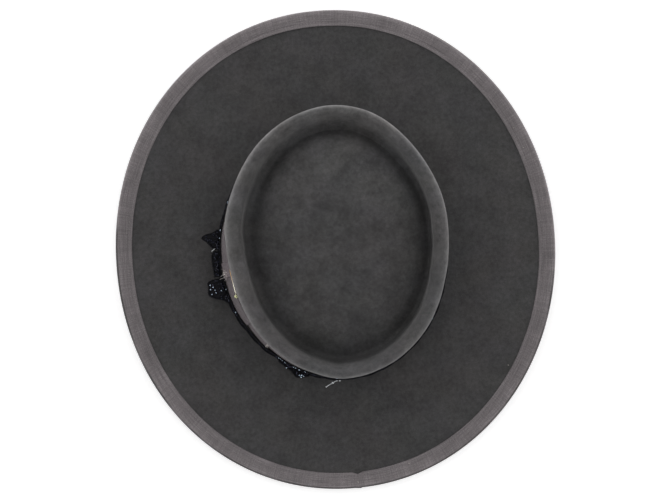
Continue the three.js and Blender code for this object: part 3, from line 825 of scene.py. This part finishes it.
def make_binding(material):
    edge = lambda angle: edge_point(angle, 0, HALF_FELT)
    length = even_angles(8, edge)[1]
    ribs = round(length / RIB_PITCH)
    angle, length = even_angles(ribs * RIB_SAMPLES, edge)
    section = binding_section()
    place, share = section[:, :2], section[:, 2]
    wave = np.cos(2 * np.pi * np.arange(len(angle)) / RIB_SAMPLES)[:, None]
    square = section_normals(place)
    inward = place[:, 0] + square[:, 0] * wave * share * RIB_DEPTH / 2
    height = place[:, 1] + square[:, 1] * wave * share * RIB_DEPTH / 2
    is_selvedge = np.abs(place[:, 0] - BINDING_WIDTH) < 0.2
    inward = inward + is_selvedge * wave * SELVEDGE_LOOP / 2
    past_seam = (angle - SEAM_ANGLE)[:, None] - SEAM_SLANT * place[:, 0] / BINDING_WIDTH
    overlap = SEAM_STEP * (past_seam > 0) * np.exp(-past_seam.clip(0) / SEAM_FADE)
    groove = SEAM_GROOVE * np.exp(-((past_seam - GROOVE_MIDDLE) / GROOVE_WIDTH) ** 2)
    height = height + np.sign(place[:, 1]) * (np.abs(place[:, 1]) > HALF_FELT) * (overlap - groove)
    notch = SEAM_NOTCH * np.clip(1 - np.abs(past_seam) / SEAM_NOTCH_SPAN, 0, 1)
    inward = inward - notch * np.clip((place[:, 0] - BINDING_WIDTH) / 2 + 1, 0, 1)
    corner = SEAM_CORNER * (past_seam < 0) * np.clip(1 + past_seam / CORNER_SPAN, 0, 1)
    inward = inward - corner * np.clip(1 - place[:, 0] / CORNER_DEPTH, 0, 1)
    points = edge_point(angle[:, None], inward, HALF_FELT + height)
    run = np.arange(len(angle)) / len(angle) * length
    cloth = ribbon_places(run, run_along(place))
    faces = ring_faces(len(angle), len(place), True)[:, ::-1].tolist()
    new_piece("binding", points, faces, material, ["brim_binding"], cloth)


# Hat band and bow

BOW_SPAN = 1.62  # millimetres to a degree along the bow
RIBBON_RIB_SAMPLES = 4
RIBBON_HALF = 0.2
RIBBON_FACE = [
    (0.0, 0.4), (0.006, 0.95), (0.03, 1.05), (0.06, 0.85), (0.22, 0.95), (0.5, 1), (0.78, 0.95),
    (0.94, 0.85), (0.97, 1.05), (0.994, 0.95), (1.0, 0.4),
]  # share of the ribbon's width, and distance from its middle plane as a share of RIBBON_HALF
BAND_MIDDLE = WALL_OUTSIDE
LAYER_STEP_LOW, LAYER_STEP_HIGH = 2.2, 0.38  # from layer to layer, low and high on the band

BOW_PATHS = {
    "bow_front_loop": [
        (187.2, 1), (182, 1), (176, 0.9), (168, 0.7), (166.6, 0.7), (166, 0.8), (165.8, 0.95), (166, 1.1),
        (166.8, 1.22), (171, 1.5), (176, 1.8), (182, 2), (187.2, 2),
    ],
    "bow_rear_loop": [
        (187.9, 2), (193, 2), (199, 2), (205, 1.9), (210, 1.65), (213, 1.38), (213.8, 1.22), (214, 1.08),
        (213.8, 0.95), (213, 0.86), (210, 0.86), (205, 0.95), (199, 1), (193, 1), (187.9, 1),
    ],
    "bow_tail": [(211, 0.6), (214.6, 0.66), (218, 0.7), (222.5, 0.68), (227, 0.62)],
}  # angle, and ribbon layers out from the band
KNOT_START, KNOT_END = 184.2, 190.6
KNOT_LAYER = 2.4
PLEATS = 2.5
PLEAT_DEPTH = 0.22
PLEAT_REACH = 5  # degrees from the knot


def ribbon_section():
    rows = RIBBON_FACE + [(share, -side) for share, side in reversed(RIBBON_FACE)]
    return np.array(rows) * [1, RIBBON_HALF]


def layer_middle(height, layers):
    """Distance out to the middle of a ribbon layer. The layers lie closer together high on the band."""
    share = np.clip((height - BAND_FOOT) / BAND_HEIGHT, 0, 1)
    return BAND_MIDDLE + layers * (LAYER_STEP_LOW + (LAYER_STEP_HIGH - LAYER_STEP_LOW) * share)


def rib_wave(count, samples):
    return np.cos(2 * np.pi * np.arange(count) / samples)[:, None]


def selvedge_side(share):
    """-1 at a ribbon's lower edge, 1 at its upper edge, and 0 between them."""
    return np.where(share > 0.99, 1.0, 0.0) - np.where(share < 0.01, 1.0, 0.0)


def make_band(material):
    foot = lambda angle: wall_point(angle, BAND_FOOT, WALL_OUTSIDE)
    ribs = round(even_angles(8, foot)[1] / RIB_PITCH)
    angle, length = even_angles(ribs * RIB_SAMPLES, foot)
    wave = rib_wave(len(angle), RIB_SAMPLES)
    share, side = ribbon_section().T
    height = BAND_FOOT + BAND_HEIGHT * share + selvedge_side(share) * wave * SELVEDGE_LOOP / 2
    out = BAND_MIDDLE + side + np.sign(side) * wave * RIB_DEPTH / 2
    points = wall_point(angle[:, None], height, out)
    run = np.arange(len(angle)) / len(angle) * length
    cloth = ribbon_places(run, BAND_HEIGHT * share)
    faces = ring_faces(len(angle), len(share), True).tolist()
    new_piece("band", points, faces, material, ["hat_band"], cloth)


def make_bow_strip(node, material):
    """A strip of the bow, on edge, along its path round the crown."""
    path = smooth_curve(np.array(BOW_PATHS[node]) * [BOW_SPAN, LAYER])
    flat, run = even_points(path, RIB_PITCH / RIBBON_RIB_SAMPLES)
    angle, layers_out = flat[:, :1] / BOW_SPAN, flat[:, 1:]
    wave = rib_wave(len(angle), RIBBON_RIB_SAMPLES)
    share, side = ribbon_section().T
    low, width = BAND_FOOT + BOW_INSET, BAND_HEIGHT - 2 * BOW_INSET
    height = low + width * share + 0 * wave
    gathered = np.exp(-((angle - (KNOT_START + KNOT_END) / 2) / PLEAT_REACH) ** 2)
    pleat = PLEAT_DEPTH * gathered * np.sin(2 * np.pi * PLEATS * share) * (layers_out > 1.5 * LAYER)
    middle = wall_point(angle, height, layer_middle(height, layers_out / LAYER) + pleat)
    along = np.gradient(middle, axis=0)
    square = unit(np.stack([along[..., 1], -along[..., 0], 0 * along[..., 2]], -1))
    points = middle + square * (side + np.sign(side) * wave * RIB_DEPTH / 2)[..., None]
    points[..., 2] += selvedge_side(share) * wave * SELVEDGE_LOOP / 2
    cloth = ribbon_places(run, width * share)
    faces = strip_faces(len(run), len(share)).tolist()
    new_piece(node + "_ribbon", points, faces, material, [node], cloth)


def make_knot(material):
    """The short strip over the middle of the bow, turned in over the bow's two edges."""
    low = BAND_FOOT + BOW_INSET - CLEARANCE - RIBBON_HALF
    high = BAND_TOP - BOW_INSET + CLEARANCE + RIBBON_HALF
    middle = (low + high) / 2
    low_face, high_face = layer_middle(low, KNOT_LAYER), layer_middle(high, KNOT_LAYER)
    lip = BAND_MIDDLE + 0.8
    path = smooth_curve([
        (lip, low), (low_face - 1.2, low), (low_face - 0.1, low + 0.6), (low_face, low + 1.8),
        (layer_middle(middle, KNOT_LAYER) + 0.1, middle),
        (high_face, high - 1.8), (high_face - 0.1, high - 0.6), (high_face - 0.6, high), (lip, high),
    ])
    line, run = even_points(path, RIB_PITCH / RIBBON_RIB_SAMPLES)
    wave = rib_wave(len(line), RIBBON_RIB_SAMPLES)
    along = unit(np.gradient(line, axis=0))
    share, side = ribbon_section()[::-1].T
    side = -side
    ripple = 0.1 * np.cos(6 * np.pi * share) * (side > 0)
    lift = side + ripple + np.sign(side) * wave * RIB_DEPTH / 2
    angle = KNOT_START + (KNOT_END - KNOT_START) * (1 - share)
    angle = angle - selvedge_side(share) * wave * SELVEDGE_LOOP / 2 / BOW_SPAN
    out = line[:, :1] + along[:, 1:] * lift
    height = line[:, 1:] - along[:, :1] * lift
    points = wall_point(angle, height, out)
    width = (KNOT_END - KNOT_START) * BOW_SPAN
    cloth = ribbon_places(run, width * share)
    faces = strip_faces(len(run), len(share)).tolist()
    new_piece("knot_ribbon", points, faces, material, ["bow_knot"], cloth)


def fray(roots, directions, lengths, seed):
    """Paths of loose threads that start at roots and curl as they go."""
    rng = np.random.default_rng(seed)
    step = shares(8)[None, :, None]
    lean = rng.normal(size=(len(roots), 1, 3)) * 0.45
    curl = rng.normal(size=(len(roots), 1, 3)) * 0.5
    heading = directions[:, None, :] + lean
    return roots[:, None, :] + lengths[:, None, None] * (heading * step + curl * step ** 2 * 0.5)


FRAY_RADIUS = 0.11
KNOT_FRAYS, TAIL_FRAYS = 22, 24
TAIL_END, TAIL_LAYER = 226.9, 0.62  # angle of the tail's cut end, and the ribbon layer it lies on


def make_frays(material):
    """Loose pale threads at the cut end of the knot and at the end of the bow's tail."""
    heap = Heap()
    rng = np.random.default_rng(21)
    count = KNOT_FRAYS
    angle = rng.uniform(187.6, 190.4, count)
    height = rng.uniform(19, 31, count)
    face = layer_middle(height, KNOT_LAYER) + RIBBON_HALF
    roots = wall_point(angle, height, face - 0.2)
    out = wall_point(angle, height, face + 0.8) - roots
    back = wall_point(angle + 1, height, face) - wall_point(angle, height, face)
    heading = 0.85 * out + rng.uniform(-0.5, 0.55, (count, 1)) * back + [0, 0, 0.15]
    paths = fray(roots, heading, rng.uniform(1.4, 3.4, count), 22)
    heap.add(*tubes(paths, thread_radii(8, FRAY_RADIUS), np.array([0, 0.2, 1]), 4))

    count = TAIL_FRAYS
    height = BAND_FOOT + BOW_INSET + (BAND_HEIGHT - 2 * BOW_INSET) * shares(count)
    tail_out = layer_middle(height, TAIL_LAYER)
    angle = np.full(count, TAIL_END)
    roots = wall_point(angle, height, tail_out + rng.uniform(-0.2, 0.35, count))
    back = wall_point(angle + 0.6, height, tail_out + 0.15) - wall_point(angle, height, tail_out)
    paths = fray(roots, back, rng.uniform(0.5, 1.5, count), 23)
    heap.add(*tubes(paths, thread_radii(8, FRAY_RADIUS), np.array([0.3, 0.2, 1]), 4))
    heap.make("frayed_threads", material)


# Lace trim

LACE_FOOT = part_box("lace_trim")[0].z / MM
LACE_HEIGHT = size_of("lace_trim").z
LACE_TOP = LACE_FOOT + LACE_HEIGHT
LACE_WAIST = LACE_FOOT + LACE_HEIGHT / 3
LACE_FLARE = 1.4
LACE_THICKNESS = 1
SCALLOPS = 40
SCALLOP_DEPTH = 1.6
NET_THREADS = 280
NET_SLANT = 2.6  # threads that one thread of the net crosses on its way up
NET_FOOT = LACE_FOOT + 3.4
LOOPS_PER_SCALLOP = 8
CORD_TURNS = 310  # swellings and waists of the cord along the scallops
FLOWER_HEIGHT = LACE_FOOT + 4.6
SPRAY_HEIGHT = LACE_FOOT + 8.4
# Angle, and ribbon layers that the trim lies on: the band, then the bow's tail, loops and knot.
TRIM_SEAT = [
    (128, 1), (140, 1.5), (152, 1.8), (160, 2), (166, 2.4), (171, 2.6), (176, 2.9), (182, 3.1),
    (184, 3.5), (192, 3.5), (195, 3.05), (205, 2.9), (210, 2.65), (213, 2.4), (218, 2), (228, 1.7),
    (233, 1.2), (270, 1.2), (285, 1.5), (330, 1.5), (345, 1.1),
]


def trim_seat(angle):
    """Distance out from the inside of the crown wall to the face of the ribbons under the trim."""
    rows = np.array(TRIM_SEAT)
    layers = np.interp(np.mod(angle, 360), rows[:, 0], rows[:, 1])
    return layer_middle(LACE_WAIST, layers - 1) + RIBBON_HALF


def trim_point(angle, height, proud):
    """Point of the trim, proud of the face of the ribbons that it lies on."""
    droop = np.clip((LACE_WAIST - height) / (LACE_WAIST - LACE_FOOT), 0, 1)
    return wall_point(angle, height, trim_seat(angle) + LACE_FLARE * droop + proud)


def millimetres_per_degree(angle):
    return np.linalg.norm(wall_point(angle + 0.5, 9, 6) - wall_point(angle - 0.5, 9, 6), axis=-1)


def scallop_foot(angle):
    """Height of the trim's lower edge: a row of round scallops."""
    return LACE_FOOT + SCALLOP_DEPTH * (1 - np.abs(np.sin(np.radians(angle) * SCALLOPS / 2)) ** 0.8)


def trim_threads(angle, height, proud, radii, sides=4):
    angle, height, proud = np.broadcast_arrays(angle, height, proud)
    points = trim_point(angle, height, proud)
    return tubes(points, radii, trim_point(angle, height, proud + 1) - points, sides)


def trim_loops(angle, height, radius, drop, steps=7):
    """Small loops that hang from the trim at each angle, or stand on it where drop is negative."""
    turn = np.linspace(0, np.pi, steps)
    shift = np.cos(turn) * radius / millimetres_per_degree(angle)[:, None]
    return angle[:, None] + shift, height[:, None] - np.sin(turn) * drop


def petals(angle, height, turn, reach, length, width, point):
    """Raised stitched petals on the trim. Each lies reach from its flower's middle, towards turn.
    point narrows its ends."""
    sides = 12
    rings = np.array([1, 0.86, 0.55, 0.04])[:, None]
    round_it = np.arange(sides) * 2 * np.pi / sides
    x, y = rings * np.cos(round_it), rings * np.sin(round_it)
    y = y * (1 - point * x ** 2)
    ridge = 0.1 * np.cos(round_it * 6) * np.sin(np.pi * rings)
    proud = 0.45 + 0.5 * (1 - rings ** 1.6) + ridge + 0 * x
    proud[0] = 0.1
    along = reach + x * length / 2
    cos, sin = np.cos(turn)[:, None, None], np.sin(turn)[:, None, None]
    shift = along * cos - y * width / 2 * sin
    rise = along * sin + y * width / 2 * cos
    scale = millimetres_per_degree(angle)[:, None, None]
    place = angle[:, None, None] + shift / scale
    points = trim_point(place, height[:, None, None] + rise, proud[None] + 0 * shift)
    one = ring_faces(len(rings), sides, False)[:, ::-1]
    return points.reshape(-1, 3), copied_faces(one, len(angle), len(rings) * sides)


def make_lace_trim(material):
    heap = Heap()
    around = np.linspace(0, 360, SCALLOPS * 18 + 1)
    foot = scallop_foot(around)

    columns = around[:-1, None]
    lower = scallop_foot(columns) + 0.3
    upper = LACE_FOOT + 8.2
    rise = lower + (upper - lower) * np.array([0, 0.35, 0.7, 1, 1, 0.7, 0.35, 0])
    proud = np.array([0.42, 0.46, 0.44, 0.3, 0.12, 0.12, 0.12, 0.12])
    heap.add(trim_point(columns, rise, proud + 0 * rise), ring_faces(len(columns), 8, True))

    twist = np.linspace(0, CORD_TURNS * np.pi, len(around))
    heap.add(*trim_threads(around[None], foot[None], 0.55, 0.42 + 0.1 * np.sin(twist)))
    heap.add(*trim_threads(around[None], foot[None] + 1.15, 0.62, 0.24))
    fine = np.linspace(0, 360, 1301)
    bumpy = 0.36 + 0.09 * np.cos(np.pi * np.arange(len(fine)))
    heap.add(*trim_threads(fine[None], LACE_TOP - 0.55, 0.55, bumpy, 5))
    heap.add(*trim_threads(around[None], LACE_TOP - 1.7, 0.5, 0.22))

    step = 360 / NET_THREADS
    start = np.arange(NET_THREADS)[:, None] * step
    slope = shares(6) * NET_SLANT * step
    rise = NET_FOOT + (LACE_TOP - 0.6 - NET_FOOT) * shares(6)
    heap.add(*trim_threads(start + slope, rise + 0 * start, 0.42, 0.15, 3))
    heap.add(*trim_threads(start - slope, rise + 0 * start, 0.5, 0.15, 3))

    loops = SCALLOPS * LOOPS_PER_SCALLOP
    hang = (np.arange(loops) + 0.5) * 360 / loops
    angle, height = trim_loops(hang, scallop_foot(hang), 0.62, 1.0)
    heap.add(*trim_threads(angle, height, 0.6, 0.17))
    stand = (np.arange(NET_THREADS) + 0.5) * step
    angle, height = trim_loops(stand, np.full(NET_THREADS, LACE_TOP - 0.4), 0.6, -0.8, 6)
    heap.add(*trim_threads(angle, height, 0.5, 0.14, 3))

    middles = (np.arange(SCALLOPS) + 0.5) * 360 / SCALLOPS
    flower = np.repeat(middles, 5)
    turn = np.tile(np.arange(5) * 2 * np.pi / 5 + np.pi / 2, SCALLOPS)
    heap.add(*petals(flower, np.full(len(flower), FLOWER_HEIGHT), turn, 1.35, 1.9, 1.45, 0.3))
    joints = np.repeat(np.arange(SCALLOPS) * 360 / SCALLOPS, 3)
    turn = np.tile(np.radians([35, 90, 145]), SCALLOPS)
    heap.add(*petals(joints, np.full(len(joints), NET_FOOT), turn, 1.9, 3.0, 1.2, 0.75))
    sprays = np.repeat(middles, 2)
    turn = np.tile(np.radians([20, 160]), SCALLOPS)
    heap.add(*petals(sprays, np.full(len(sprays), SPRAY_HEIGHT), turn, 1.9, 2.8, 1.1, 0.75))
    centres = trim_point(middles, np.full(SCALLOPS, FLOWER_HEIGHT), 1.0)
    out = trim_point(middles, np.full(SCALLOPS, FLOWER_HEIGHT), 2.0) - centres
    heap.add(*beads(centres, np.full(SCALLOPS, 0.55), out))
    heap.make("lace", material, ["lace_trim"])


# Lace leaves

LEAF_REACH = 20
LEAF_HEIGHT = 11.4
LEAF_DROOP = 5
LEAF_SPAN = 1.7  # millimetres to a degree across a leaf
LEAF_COLUMNS, LEAF_ROWS = 96, 40
PICOT_PITCH = 1.5

# Outlines, as angle and share of LEAF_REACH out from the crown, and the leaflets stitched on each: the
# angle and share of the reach at both its ends, and its width in millimetres.
LEAVES = {
    "lace_leaf_front": {
        "outline": [
            (169.5, 0.36), (171, 0.55), (172, 0.82), (173.4, 0.97), (175, 0.76), (176.8, 0.6),
            (178, 0.47),
        ],
        "leaflets": [
            (174.0, 0.3, 173.3, 0.95, 4.6), (172.6, 0.28, 170.9, 0.5, 2.6),
            (175.4, 0.3, 176.8, 0.56, 3.2), (173.6, 0.3, 172.2, 0.74, 2.8),
            (174.6, 0.3, 175.2, 0.7, 3.0),
        ],
    },
    "lace_leaf_middle": {
        "outline": [(178.6, 0.5), (180, 0.59), (183, 0.61), (186.5, 0.6), (189.4, 0.62)],
        "leaflets": [
            (180.6, 0.32, 179.8, 0.58, 3.6), (183.2, 0.36, 182.8, 0.6, 3.8),
            (186.2, 0.38, 186.0, 0.59, 3.8), (188.2, 0.38, 188.6, 0.6, 3.0),
        ],
    },
    "lace_leaf_rear": {
        "outline": [
            (190.1, 0.7), (191, 0.92), (193, 0.94), (195.4, 1.0), (197.2, 0.86), (199.5, 0.52),
            (201.5, 0.36),
        ],
        "leaflets": [
            (192.6, 0.36, 191.3, 0.88, 3.6), (193.8, 0.36, 193.4, 0.92, 3.6),
            (195.0, 0.34, 195.6, 0.97, 4.0), (196.2, 0.3, 197.8, 0.74, 3.4),
            (197.6, 0.28, 199.8, 0.48, 3.0),
        ],
    },
    "lace_leaf_back": {
        "outline": [(236, 0.2), (240, 0.23), (244, 0.28), (247.5, 0.4), (250, 0.31), (253, 0.2)],
        "leaflets": [
            (239, 0.13, 238.5, 0.2, 2.4), (242, 0.13, 241.4, 0.23, 2.6), (245.2, 0.13, 244.8, 0.28, 2.8),
            (247.8, 0.13, 247.6, 0.39, 3.2), (249.8, 0.13, 250.8, 0.27, 2.6),
        ],
    },
}


def leaf_root(angle):
    return trim_seat(angle) + LACE_THICKNESS + CLEARANCE


def leaf_point(angle, out, lift):
    """Point over the face of a leaf."""
    height = LEAF_HEIGHT - LEAF_DROOP * ((out - leaf_root(angle)) / LEAF_REACH) ** 2
    return wall_point(angle, height + lift, out)


def leaflet_relief(x, y, leaflet):
    """Height of one stitched leaflet over places x along the trim and y out from it."""
    base_angle, base_reach, tip_angle, tip_reach, width = leaflet
    base = np.array([base_angle * LEAF_SPAN, FELT + base_reach * LEAF_REACH])
    tip = np.array([tip_angle * LEAF_SPAN, FELT + tip_reach * LEAF_REACH])
    length = np.linalg.norm(tip - base)
    along = (tip - base) / length
    a = ((x - base[0]) * along[0] + (y - base[1]) * along[1]) / length
    b = (x - base[0]) * -along[1] + (y - base[1]) * along[0]
    half = width / 2 * np.sin(np.pi * np.clip(a, 0.001, 0.999) ** 0.8) ** 0.7
    inside = np.clip((half - np.abs(b)) / 0.3, 0, 1) * ((a > 0) & (a < 1))
    satin = 0.09 * np.sin(2 * np.pi * (a * length - 0.8 * np.abs(b)) / 0.7)
    vein = 0.3 * np.exp(-((b / 0.24) ** 2))
    return inside * (0.3 + 0.35 * (1 - (b / (half + 0.01)) ** 2) + satin - vein)


def make_lace_leaf(node, material):
    """A flap of lace that stands out over the brim: net, stitched leaflets, a corded edge and picots."""
    heap = Heap()
    outline = smooth_curve(np.array(LEAVES[node]["outline"]) * [LEAF_SPAN, LEAF_REACH], 24)
    edge, run = even_points(outline, 0.2)
    place = np.linspace(0, run[-1], LEAF_COLUMNS)
    angle = np.interp(place, run, edge[:, 0])[:, None] / LEAF_SPAN
    tip = FELT + np.interp(place, run, edge[:, 1])[:, None] - 0.35
    root = leaf_root(angle)
    out = root + (tip - root) * shares(LEAF_ROWS)
    x = angle * LEAF_SPAN + 0 * out
    relief = 0.07 * np.cos(2 * np.pi * (x + out) / 1.1) * np.cos(2 * np.pi * (x - out) / 1.1)
    for leaflet in LEAVES[node]["leaflets"]:
        relief = np.maximum(relief, leaflet_relief(x, out, leaflet))
    top = leaf_point(angle, out, relief - 0.45)
    bottom = leaf_point(angle, out, np.full_like(out, -0.8))
    section = np.concatenate([bottom, top[:, ::-1]], axis=1)
    heap.add(section, strip_faces(LEAF_COLUMNS, section.shape[1]))

    rim_angle = (edge[:, 0] / LEAF_SPAN)[None]
    rim_out = (FELT + edge[:, 1])[None] - 0.3
    heap.add(*tubes(leaf_point(rim_angle, rim_out, -0.4), thread_radii(len(edge), 0.36), UP, 6))
    heap.add(*tubes(leaf_point(rim_angle, rim_out - 0.9, -0.25), thread_radii(len(edge), 0.2), UP, 5))
    count = round(run[-1] / PICOT_PITCH)
    at = (np.arange(count) + 0.5) / count * run[-1]
    turn = np.linspace(0, np.pi, 7)
    slide = at[:, None] + np.cos(turn) * 0.55
    picot_angle = np.interp(slide, run, edge[:, 0]) / LEAF_SPAN
    picot_out = FELT + np.interp(slide, run, edge[:, 1]) - 0.2 + np.sin(turn) * 0.75
    heap.add(*tubes(leaf_point(picot_angle, picot_out, -0.4), 0.16, UP, 4))
    heap.make(node + "_lace", material, [node])


# Beads

TRIM_BEADS = [
    (148.1, 12, 0.41), (149.0, 11.5, 0.33), (156.8, 12, 0.7), (157.4, 11.2, 0.49), (169.6, 12, 0.66),
    (173.1, 12, 0.45), (195.4, 12.2, 0.49), (206.3, 12, 0.57), (226.5, 12, 0.33), (235.6, 12, 0.49),
    (236.6, 12.2, 0.49), (237.6, 12, 0.41), (239.3, 11.6, 0.61), (244.1, 12, 0.57), (245.2, 12.2, 0.49),
    (247.2, 12, 0.66), (250.4, 12.4, 0.57), (266.9, 12, 0.49), (324.4, 12, 0.49),
]  # bright beads on the trim: angle, height and radius
LEAF_BEADS = [
    (241.2, 7.3, 0.57), (192.1, 19.3, 0.49), (193.1, 17.4, 0.49), (193.8, 19.8, 0.57),
    (194.5, 16.5, 0.49), (195.7, 19.7, 0.49), (195.6, 16.3, 0.45), (195.3, 11.8, 0.53),
    (249.3, 7.4, 0.66), (249.4, 9.0, 0.66), (250.4, 7.5, 0.49), (248.3, 8.2, 0.49),
]  # bright beads on the leaves: angle, distance out and radius
BUGLE = [(178.7, 14.3), (177.5, 11.0)]  # ends of a long bead: angle and distance out
BUGLE_RADIUS = 0.25
SPRIG = [
    (267.0, 5.6, 14.4), (265.6, 6.6, 15.2), (264.6, 7.8, 15.4), (263.2, 9.4, 15.2), (261.9, 11.3, 15.0),
]  # angle, distance out and height
SPRIG_RADIUS = 0.38
SPRIG_BEADS = [(261.9, 11.3, 15.0, 0.62), (264.9, 7.4, 15.4, 0.95), (268.2, 5.7, 14.6, 0.6)]
DARK_TRIM_BEADS, DARK_LEAF_BEADS = 170, 26


def place_beads(heap, centres, radii, seed):
    rng = np.random.default_rng(seed)
    heap.add(*beads(centres, radii, rng.normal(size=centres.shape)))


def make_beads(bright, dark, wire):
    heap = Heap()
    rows = np.array(TRIM_BEADS)
    place_beads(heap, trim_point(rows[:, 0], rows[:, 1], 0.9), rows[:, 2], 31)
    rows = np.array(LEAF_BEADS)
    place_beads(heap, leaf_point(rows[:, 0], rows[:, 1], 0.45), rows[:, 2], 32)
    heap.make("bright_beads", bright)

    heap = Heap()
    rng = np.random.default_rng(33)
    count = DARK_TRIM_BEADS
    angle = rng.uniform(0, 360, count)
    height = rng.uniform(LACE_FOOT + 2.2, LACE_TOP - 2, count)
    place_beads(heap, trim_point(angle, height, 0.95), rng.uniform(0.42, 0.62, count), 34)
    count = DARK_LEAF_BEADS
    for leaf in LEAVES.values():
        edge = np.array(leaf["outline"])
        angle = rng.uniform(edge[0, 0] + 0.6, edge[-1, 0] - 0.6, count)
        tip = FELT + np.interp(angle, edge[:, 0], edge[:, 1]) * LEAF_REACH - 1.6
        root = leaf_root(angle)
        out = root + (tip - root) * rng.uniform(0.08, 1, count)
        place_beads(heap, leaf_point(angle, out, 0.35), rng.uniform(0.4, 0.58, count), 35)
    heap.make("dark_beads", dark)

    heap = Heap()
    ends = np.array(BUGLE)
    line = ends[0] + (ends[1] - ends[0]) * shares(8)[:, None]
    line = leaf_point(line[:, 0], line[:, 1], 0.4)
    heap.add(*tubes(line[None], thread_radii(8, BUGLE_RADIUS), UP, 8))
    rows = smooth_curve(SPRIG, 6)
    line = wall_point(rows[:, 0], rows[:, 2], rows[:, 1])
    heap.add(*tubes(line[None], SPRIG_RADIUS, UP, 8))
    for angle, out, height, radius in SPRIG_BEADS:
        heap.add(*ball(wall_point(angle, height, out), radius, 14, 9))
    heap.make("bead_sprig", wire)


# Hat pin

PIN_RADIUS = 0.5
PIN_TUCK = 0.1  # how much closer to the felt it lies than the model's plain pin
PIN_HEAD_OUT = 0.35  # how far its head stands out from the line of its shank
PIN_POINT = 0.22  # radius near its point
PIN_START = (188, 1.2)  # angle, and distance out from the crown's outside
PIN_END = (199.4, 1.3)
PIN_SLOPE = 4.4
PIN_HEIGHT = BAND_TOP - BOW_INSET + CLEARANCE + RIBBON + CLEARANCE + PIN_RADIUS


def make_pin(gold, glass):
    low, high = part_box("pin_head")
    radius = (high - low).z / 2 / MM
    foot = wall_point(PIN_START[0], PIN_HEIGHT, FELT + PIN_START[1] - PIN_TUCK)
    top = wall_point(PIN_END[0], PIN_HEIGHT + PIN_SLOPE, FELT + PIN_END[1] - PIN_TUCK)
    heap = Heap()
    step = shares(18)[:, None]
    line = foot + (top - foot) * step
    taper = PIN_POINT + (PIN_RADIUS - PIN_POINT) * np.minimum(1, 1.6 * shares(18))
    heap.add(*tubes(line[None], taper * thread_radii(18, 1), UP, 12))
    along = (top - foot) / np.linalg.norm(top - foot)
    outward = wall_point(PIN_END[0], PIN_HEIGHT, 1) - wall_point(PIN_END[0], PIN_HEIGHT, 0)
    centre = top + along * radius * 1.1 + outward * PIN_HEAD_OUT
    cup = centre - along * radius * np.array([1.12, 0.98, 0.8, 0.55])[:, None]
    heap.add(*tubes(cup[None], radius * np.array([0.3, 0.55, 0.72, 0.9]), UP, 16))
    heap.make("gold_pin", gold, ["pin_shank"])
    heap = Heap()
    heap.add(*ball(centre, radius, 28, 18))
    heap.make("glass_head", glass, ["pin_head"])


# Stitches of the binding, and lint

STITCH_PITCH = 2.6
STITCH_SHARE = 0.72  # of its pitch that a stitch covers
STITCH_RADIUS = 0.17
LINT = [
    (286.5, 82.0, 1.4), (272.2, 86.8, 1.2), (28.2, 82.9, 1.0), (22.5, 82.5, 1.2), (325.3, 75.8, 1.2),
]  # angle, distance out and length
LINT_RADIUS = 0.16


def make_stitches(material):
    heap = Heap()
    inward = BINDING_WIDTH - BINDING_STITCH_IN
    line = lambda angle: edge_point(angle, inward, FELT)
    count = round(even_angles(8, line)[1] / STITCH_PITCH)
    angle = even_angles(count, line)[0][:, None]
    half = 0.5 * STITCH_SHARE * 360 / count
    step = np.linspace(-1, 1, 6)
    arch = 0.12 * (1 - step ** 2)
    for side, face in ((1, FELT + 0.36), (-1, -0.36)):
        paths = edge_point(angle + half * step, inward + 0.12 * step, face + side * arch)
        heap.add(*tubes(paths, thread_radii(6, STITCH_RADIUS), UP, 4))
    heap.make("binding_stitches", material)


def make_lint(material):
    heap = Heap()
    rng = np.random.default_rng(41)
    for angle, out, length in LINT:
        foot, edge = brim_point(angle, 0), brim_point(angle, 1)
        part = (out - UNDER_BREAK_RADIUS) / np.linalg.norm(edge - foot)
        middle = brim_point(angle, part) + [0, 0, FELT + RIBBON + 0.35]
        turn = rng.uniform(0, np.pi)
        heading = np.array([np.cos(turn), np.sin(turn), 0.1])
        step = np.linspace(-0.5, 0.5, 7)[:, None]
        bend = np.array([-heading[1], heading[0], 0.2]) * (step ** 2 - 0.1)
        line = middle + length * (heading * step + bend)
        heap.add(*tubes(line[None], thread_radii(len(line), LINT_RADIUS), UP, 4))
    heap.make("lint", material)


make_camera()
make_stage()
felt_finish = felt_material()
# the binding gets painted shade on its fold and painted light towards the brim's edge
binding_finish = grosgrain_material("rosy_grosgrain", BINDING_COLOR, painted_fold_shade=0.25)
# the bow gets painted light at its lower edge and painted shade towards its upper edge
bow_finish = grosgrain_material("bow_grosgrain", BOW_COLOR, 1.25, 0.8)
lace_finish = lace_material()
make_felt(felt_finish)
make_binding(binding_finish)
make_stitches(new_material("stitch_thread", STITCH_COLOR, 0.7)[0])
make_band(bow_finish)
for bow_node in BOW_PATHS:
    make_bow_strip(bow_node, bow_finish)
make_knot(bow_finish)
make_frays(new_material("frayed_silk", FRAY_COLOR, 0.6)[0])
make_lace_trim(lace_finish)
for leaf_node in LEAVES:
    make_lace_leaf(leaf_node, lace_finish)
make_beads(
    glossy_material("silver_bead", SILVER_COLOR, 0.12, 0.85),
    glossy_material("navy_bead", NAVY_COLOR, 0.12, 0.0),
    glossy_material("sprig_silver", SPRIG_COLOR, 0.25, 0.6),
)
make_pin(pin_material(), glass_material())
make_lint(new_material("lint", LINT_COLOR, 0.8)[0])
